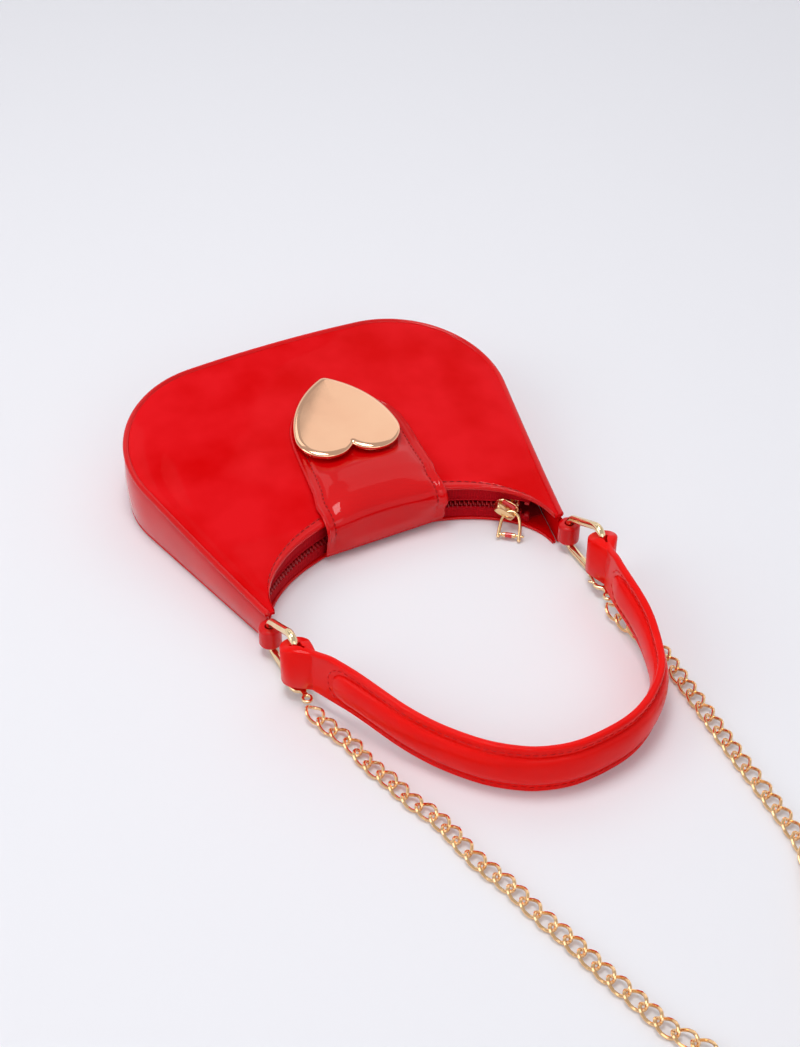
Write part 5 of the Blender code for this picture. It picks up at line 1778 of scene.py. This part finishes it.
    def build_bridge(self) -> None:
        """Makes the arched bridge that the puller turns in, and its enamel."""
        reach = self.gap + self.bridge_opening + self.bridge_wall / 2
        half = self.bridge_span / 2
        path = [(-half, -0.0003), (-half * 0.98, reach * 0.45), (-half * 0.84, reach * 0.86), (-half * 0.5, reach),
                (0.0, reach), (half * 0.5, reach), (half * 0.84, reach * 0.86), (half * 0.98, reach * 0.45),
                (half, -0.0003)]
        line = smooth_line([Vector((along, out, 0)) for along, out in path], 0.0004)
        rings = []
        for i, (spot, ahead) in enumerate(zip(line, headings(line))):
            across = Vector((-ahead.y, ahead.x, 0))
            flare = 1 + 0.35 * abs(2 * i / (len(line) - 1) - 1) ** 3
            ring = []
            for wide, thick in rounded_box(12, self.bridge_width / 2 * flare, self.bridge_wall / 2, 0.5, 0.7):
                p = spot + across * thick
                ring.append(self.on_slider(p.x, p.y, wide))
            rings.append(ring)
        dress(loft("slider_arch", rings), SLIDER_GOLD, "slider", "slider_bridge")
        layers = []
        for out, inset in self.enamel_profile:
            box = rounded_box(28, *(half - inset for half in self.enamel_half), 0.4, 0.5)
            layers.append([self.on_slider(self.enamel_spot[0] + along, out, self.enamel_spot[1] + up)
                           for along, up in box])
        dress(loft("slider_enamel_drop", layers), ENAMEL, "slider", "slider_enamel")

    def build_puller(self) -> None:
        """Makes the puller: a horseshoe that hangs in the bridge, and its pin with an inlaid roller.

        The roller is the thick middle of the pin, and the inlay a band round it.
        """
        tangent, outward = self.frame_at(self.slider_angle)
        drop = outward * math.sin(self.puller_lean) - Vector((0, 0, math.cos(self.puller_lean)))
        start, long = self.on_slider(*self.puller_root), self.puller_length
        places = [(-0.0046, long * 0.93), (-0.0045, long * 0.65), (-0.0041, long * 0.34), (-0.0031, long * 0.12),
                  (-0.0012, 0.0), (0.0012, 0.0), (0.0031, long * 0.12), (0.0041, long * 0.34),
                  (0.0045, long * 0.65), (0.0046, long)]
        line = smooth_line([start + tangent * along + drop * down for along, down in places], 0.0005)
        sizes = [self.puller_wire / 2] * len(line)
        sizes[0] = sizes[-1] = self.puller_wire * 0.36
        rings = tube_rings(line, sizes, 12, up=tangent.cross(drop).normalized())
        dress(loft("puller_horseshoe", rings), SLIDER_GOLD, "puller", "puller_yoke")
        middle = start + drop * long * 0.80
        for name, ends, finish, nodes in (("puller_pin", self.pin_ends, SLIDER_GOLD, ("puller_bar",)),
                                          ("puller_inlay", self.inlay_ends, ENAMEL, ())):
            spots = spaced(*ends, 24)
            radii = [self.roller_radius if self.roller_ends[0] < spot < self.roller_ends[1] else self.pin_radius
                     for spot in spots] if nodes else [self.inlay_radius] * len(spots)
            radii[0] = radii[-1] = radii[0] * 0.7
            dress(loft(name, tube_rings([middle + tangent * spot for spot in spots], radii, 14)), finish,
                  "puller", *nodes)


# Flap and heart
@dataclass
class Flap:
    """Vinyl flap that turns over the mouth's front edge, padded inside a flat sewn margin."""

    shell: BodyShell
    bag_zip: Zip
    centre: float = 0.002
    half_width: float = 0.0285
    wall: float = 0.0012
    hinge_z: float = 0.0044
    hinge_set: float = 0.0018
    length: float = 0.062
    turn_share: float = 0.106
    skew: float = -0.15
    margin: float = 0.0044
    pad: float = 0.0017
    stitch: Stitch = Stitch(0.0016, 0.0007, 0.00020)
    thread_rise: float = 0.00008
    root_from_zip: float = 0.0007
    side_clearance: float = 0.0003
    lying_rise: float = 0.0003
    settle: float = 0.0016
    heart_bed: Pair = (0.056, 0.066)
    snap_x: float = 0.0052
    snap_share: float = 0.68
    snap_slope: float = 0.18
    socket_profile: Pairs = (
        (0.0050, -0.0013), (0.0050, -0.0002), (0.0046, 0.0001), (0.0026, 0.0001), (0.0022, -0.0004),
        (0.0010, -0.0006),
    )
    stud_profile: Pairs = (
        (0.0046, 0.0003), (0.0047, 0.0010), (0.0043, 0.0013), (0.0024, 0.00135), (0.0010, 0.0014),
    )
    rows: Pairs = (
        (0.0, 1.0), (0.07, 1.0), (0.2, 0.99), (0.35, 0.97), (0.5, 0.955), (0.63, 0.94), (0.74, 0.9),
        (0.83, 0.81), (0.9, 0.68), (0.96, 0.5), (1.0, 0.26),
    )

    def hinge_y(self) -> float:
        """Where the flap leaves the back panel."""
        side = self.centre + self.half_width
        return self.bag_zip.centre_y + math.sqrt(self.bag_zip.radius**2 - side**2) - self.hinge_set

    def width_at(self, share: float) -> float:
        """Half the flap's width at a share of its lying length."""
        return float(np.interp(share, *zip(*self.rows))) * self.half_width

    def place(self, share: float, across: float) -> Pair:
        """Plan place on the lying part, across from -1 to 1.

        Args:
            share: of the lying length.
            across: from the left side to the right one.

        Returns:
            The place across and down the bag.
        """
        centre = self.centre + self.turn_share * share * self.length
        x = centre + across * self.width_at(share)
        start, end = self.shell.mouth_y(x), self.shell.front_mouth + self.length
        return x, start * (1 - share) + end * share + self.skew * share * (x - centre)

    def relief(self, side: float, end: float, y: float) -> float:
        """Height of the lip, the margin, the seam and the pad above the plain flap.

        Args:
            side: distance from the nearer side.
            end: distance from the flap's end.
            y: place down the bag.

        Returns:
            The height.
        """
        d = min(side, end)
        lip = ridge(d - 0.0008, 0.00050, 0.0006) - fade(d, 0.0004, 0.0003)
        groove = -ridge(d - self.margin, 0.00045, 0.0007)
        under_heart = ease(y, *self.heart_bed)
        crown = 1 - (1 - min(max(d - self.margin, 0) / 0.012, 1)) ** 2.2
        return lip + groove + self.pad * crown * (1 - 0.9 * under_heart)

    def grid(self) -> tuple[list[list[Vector]], list[float]]:
        """Rows of points of the face seen, from the hinge to the end, and the plain shares across.

        Returns:
            The rows, and the share across of each column.
        """
        spans = [math.copysign(1 - (1 - abs(s)) ** 1.5, s) for s in spaced(-1, 1, 64)]
        columns = []
        for across in spans:
            x = self.centre + across * self.half_width
            edge = self.shell.mouth_y(x)
            top = self.shell.front_top(x, edge)
            y0, z0 = self.hinge_y() - self.wall / 2, self.hinge_z - 0.0012
            rise = ((y0 + 0.0010, z0 - 0.0009), (y0, z0), (y0 - 0.0006, z0 + 0.0018),
                    (y0 * 0.62 + edge * 0.38 - 0.0016, top - 0.0090), (edge - 0.0036, top - 0.0050),
                    (edge - 0.0032, top - 0.0018), (edge - 0.0017, top + 0.0010), (edge + 0.0009, top + 0.0028),
                    *((edge + over, self.shell.front_top(x, edge + over) + lift)
                      for over, lift in ((0.0042, 0.0031), (0.0080, 0.0030))))
            way = [Vector((x, y, z)) for y, z in rise]
            for share in np.linspace(0.2, 1, 30):
                px, py = self.place(float(share), across)
                settle = self.settle * (1 - ease(float(share), 0.12, 0.48))
                way.append(Vector((px, py, self.shell.front_top(px, py) + self.lying_rise + self.wall + settle)))
            columns.append(even_line(smooth_line(way, 0.0006), line_lengths(way)[-1] / 110)[:111])
        count = min(len(c) for c in columns)
        plain = [[column[k] for column in columns] for k in range(count)]
        rows = [list(row) for row in plain]
        for k, row in enumerate(rows):
            for j, across in enumerate(spans):
                share = max((row[j].y - self.shell.front_mouth) / self.length, 0)
                side = (1 - abs(across)) * self.width_at(share)
                end = (count - 1 - k) * (plain[1][j] - plain[0][j]).length + 0.0001
                out = self.outward(plain, k, j)
                bulge = self.relief(side, max(end, side * 0.1), row[j].y) * ease(k / count, 0.02, 0.10)
                row[j] = row[j] + out * bulge
        return rows, spans

    def outward(self, rows: list[list[Vector]], k: int, j: int) -> Vector:
        """Direction out of the flap's face at a point of the grid.

        Args:
            rows: the grid.
            k: the point's row.
            j: its column.

        Returns:
            A unit direction.
        """
        along = rows[min(k + 1, len(rows) - 1)][j] - rows[max(k - 1, 0)][j]
        across = rows[k][min(j + 1, len(rows[k]) - 1)] - rows[k][max(j - 1, 0)]
        return across.cross(along).normalized()

    def build(self) -> None:
        """Makes the flap, its stitches and its snap."""
        rows, spans = self.grid()
        under = []
        for k, row in enumerate(rows):
            under.append([p - self.outward(rows, k, j) * self.wall * 0.9 for j, p in enumerate(row)])
        flap = sheet_solid("flap_skin", rows, under)
        dress(flap, PATENT, None, "flap", "flap_root")
        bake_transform(flap)
        self.build_root()
        self.build_stitches(rows, spans)
        self.build_snap()

    def build_root(self) -> None:
        """Makes the strip that joins the flap to the back panel."""
        front = self.hinge_y() - self.wall / 2
        radius = self.bag_zip.radius - self.root_from_zip
        top, under = [], []
        for share in spaced(-1, 1, 32):
            x = self.centre + (self.half_width - self.side_clearance) * share
            end = self.bag_zip.centre_y + math.sqrt(radius**2 - x**2)
            high = [(front + 0.0002, 0.0030), (front + 0.0005, 0.0039), (front + 0.0011, 0.0041),
                    (front + 0.0014, 0.0036), (end - 0.0004, 0.0029), (end, 0.0025)]
            top.append([(x, y, z) for y, z in high])
            under.append([(x, min(max(y, front + 0.0006), end - 0.0002), 0.0018) for y, _ in high])
        dress(sheet_solid("flap_foot", top, under), PATENT, "bag")

    def build_stitches(self, rows: list[list[Vector]], spans: list[float]) -> None:
        """Sews the seam at the inner side of the margin.

        Args:
            rows: points of the face seen.
            spans: shares across of its columns.
        """
        count = len(rows)
        left, right, normals = [], [], {}
        first = int(count * 0.12)
        end_row = next(k for k in range(count - 1, 0, -1)
                       if (rows[count - 1][32] - rows[k][32]).length > self.margin)
        for k in range(first, end_row):
            width = (rows[k][-1] - rows[k][0]).length / 2
            wanted = max(0.02, 1 - self.margin / max(width, self.margin * 1.02))
            for sign, line in ((-1, left), (1, right)):
                j = min(range(len(spans)), key=lambda i: abs(spans[i] - sign * wanted))
                other = j + (1 if spans[j] < sign * wanted else -1)
                gap = spans[other] - spans[j]
                point = rows[k][j].lerp(rows[k][other], (sign * wanted - spans[j]) / gap if gap else 0)
                line.append(point)
                normals[tuple(point)] = self.outward(rows, k, j)
        seam = left + right[::-1]
        keys = list(normals)
        table = np.array(keys)

        def out_of(place: Vector) -> Vector:
            """Direction out of the flap near a place on the seam."""
            near = int(np.argmin(((table - np.array(place)) ** 2).sum(axis=1)))
            return normals[keys[near]]

        lifted = [p + normals[tuple(p)] * self.thread_rise for p in seam]
        dress(loft_many("flap_stitches", self.stitch.sew(lifted, out_of)), THREAD, "flap")

    def build_snap(self) -> None:
        """Makes the snap's socket in the panel and its stud on the flap."""
        centre = Vector((self.snap_x, self.shell.front_mouth + self.snap_share * self.length))
        top = self.shell.front_top(centre.x, centre.y)
        for name, node, body, profile in (("snap_socket_cup", "snap_socket", "bag", self.socket_profile),
                                          ("snap_stud_cap", "snap_stud", "flap", self.stud_profile)):
            rings = []
            for radius, lift in profile:
                steps = [polar(a, radius) for a in full_turn(32)]
                rings.append([(*(centre + step), top + lift + self.snap_slope * step.y) for step in steps])
            dress(loft(name, rings), SNAP_METAL, body, node)


@dataclass
class Heart:
    """Polished heart plate on the flap, flat in the middle with a rounded rim."""

    shell: BodyShell
    width: float = 0.0473
    length: float = 0.0505
    lobe_radius: float = 0.0131
    side_radius: float = 0.0486
    tip_radius: float = 0.0035
    centre: Pair = (0.0056, 0.0866)
    turn: float = math.radians(-8.6)
    edge: float = 0.0014
    dome: float = 0.0012
    rounding: float = 0.0030
    slope: float = 0.1
    flap_wall: float = 0.0012
    foot_inset: float = 0.0005
    face_crown: float = 0.00022

    def half(self, inset: float) -> list[Vector]:
        """Right half of the outline from the notch to the tip, set in by an equal width.

        Args:
            inset: the width.

        Returns:
            Its points about the heart's middle, y growing towards the tip.
        """
        lobe = Vector((self.width / 2 - self.lobe_radius, self.lobe_radius - self.length / 2))
        tip = Vector((0, self.length / 2 - self.tip_radius))
        to_lobe, to_tip = self.side_radius - self.lobe_radius, self.side_radius - self.tip_radius
        way = tip - lobe
        along = (to_lobe**2 - to_tip**2 + way.length**2) / (2 * way.length)
        ahead = way.normalized()
        side = lobe + ahead * along + Vector((-ahead.y, ahead.x)) * math.sqrt(to_lobe**2 - along**2)
        notch = Vector((0, lobe.y - math.sqrt(self.lobe_radius**2 - lobe.x**2)))
        from_notch = math.atan2(lobe.y - notch.y, lobe.x - notch.x)
        at_lobe = math.atan2(lobe.y - side.y, lobe.x - side.x)
        at_tip = math.atan2(tip.y - side.y, tip.x - side.x)
        points = []
        for centre, radius, start, end, steps in (
            (notch, inset, math.pi / 2, from_notch, 6),
            (lobe, self.lobe_radius - inset, from_notch - math.pi, at_lobe, 40),
            (side, self.side_radius - inset, at_lobe, at_tip, 24),
            (tip, self.tip_radius - inset, at_tip, math.pi / 2, 12),
        ):
            points += [centre + polar(a, radius) for a in spaced(start, end, steps)[:-1]]
        return points + [Vector((0, tip.y + self.tip_radius - inset))]

    def line(self, inset: float, scale: float = 1.0) -> list[Pair]:
        """The whole outline on the bag.

        Args:
            inset: how far it is set in.
            scale: its size against the true one.

        Returns:
            Its points in plan.
        """
        half = self.half(inset)
        local = [p * scale for p in half + [Vector((-p.x, p.y)) for p in half[-2:0:-1]]]
        cos, sin = math.cos(self.turn), math.sin(self.turn)
        return [(self.centre[0] + cos * p.x - sin * p.y, self.centre[1] + sin * p.x + cos * p.y) for p in local]

    def base(self) -> float:
        """Height of the foot under the heart's middle.

        Returns:
            The height at which the whole plate clears the flap.
        """
        needed = []
        for x, y in self.line(self.foot_inset) + self.line(self.rounding):
            face = self.shell.front_top(x, y) + self.shell.seam_gap + self.flap_wall
            needed.append(face - self.slope * (y - self.centre[1]))
        return max(needed) + self.shell.seam_gap

    def build(self) -> None:
        """Makes the plate."""
        base = self.base()
        layers = [(self.foot_inset, 1.0, 0.0)]
        for a in spaced(0, math.pi / 2, 12):
            share = 1 - math.cos(a)
            layers.append((self.rounding * share, 1.0,
                           self.edge + self.dome * math.sqrt(1 - (1 - share) ** 2)))
        top = self.edge + self.dome
        for scale in (0.93, 0.8, 0.6, 0.4, 0.2, 0.04):
            layers.append((self.rounding, scale, top + self.face_crown * (1 - scale**2)))
        rings = []
        for inset, scale, lift in layers:
            rings.append([(x, y, base + self.slope * (y - self.centre[1]) + lift)
                          for x, y in self.line(inset, scale)])
        dress(loft("heart_plate_polished", rings, sharp=70), ROSE_GOLD, "flap", "heart_plate")


# Whole bag
def build_bag() -> None:
    """Builds every piece of the bag in order."""
    clasps = {Side.LEFT: Clasp(Side.LEFT, math.radians(-95), 0.0),
              Side.RIGHT: Clasp(Side.RIGHT, math.radians(-106), 0.0042)}
    Chain().build(clasps)
    for clasp in clasps.values():
        clasp.build()
    for side in Side:
        Ring(side).build()
    Handle(Ring(Side.RIGHT)).build()
    shell = BodyShell()
    shell.build()
    bag_zip = Zip(shell)
    bag_zip.build()
    Flap(shell, bag_zip).build()
    Heart(shell).build()


def main() -> None:
    """Makes the studio and the bag."""
    logging.basicConfig(level=logging.INFO, format="%(name)s: %(message)s")
    Studio().build()
    build_bag()


if __name__ == "__main__":
    main()
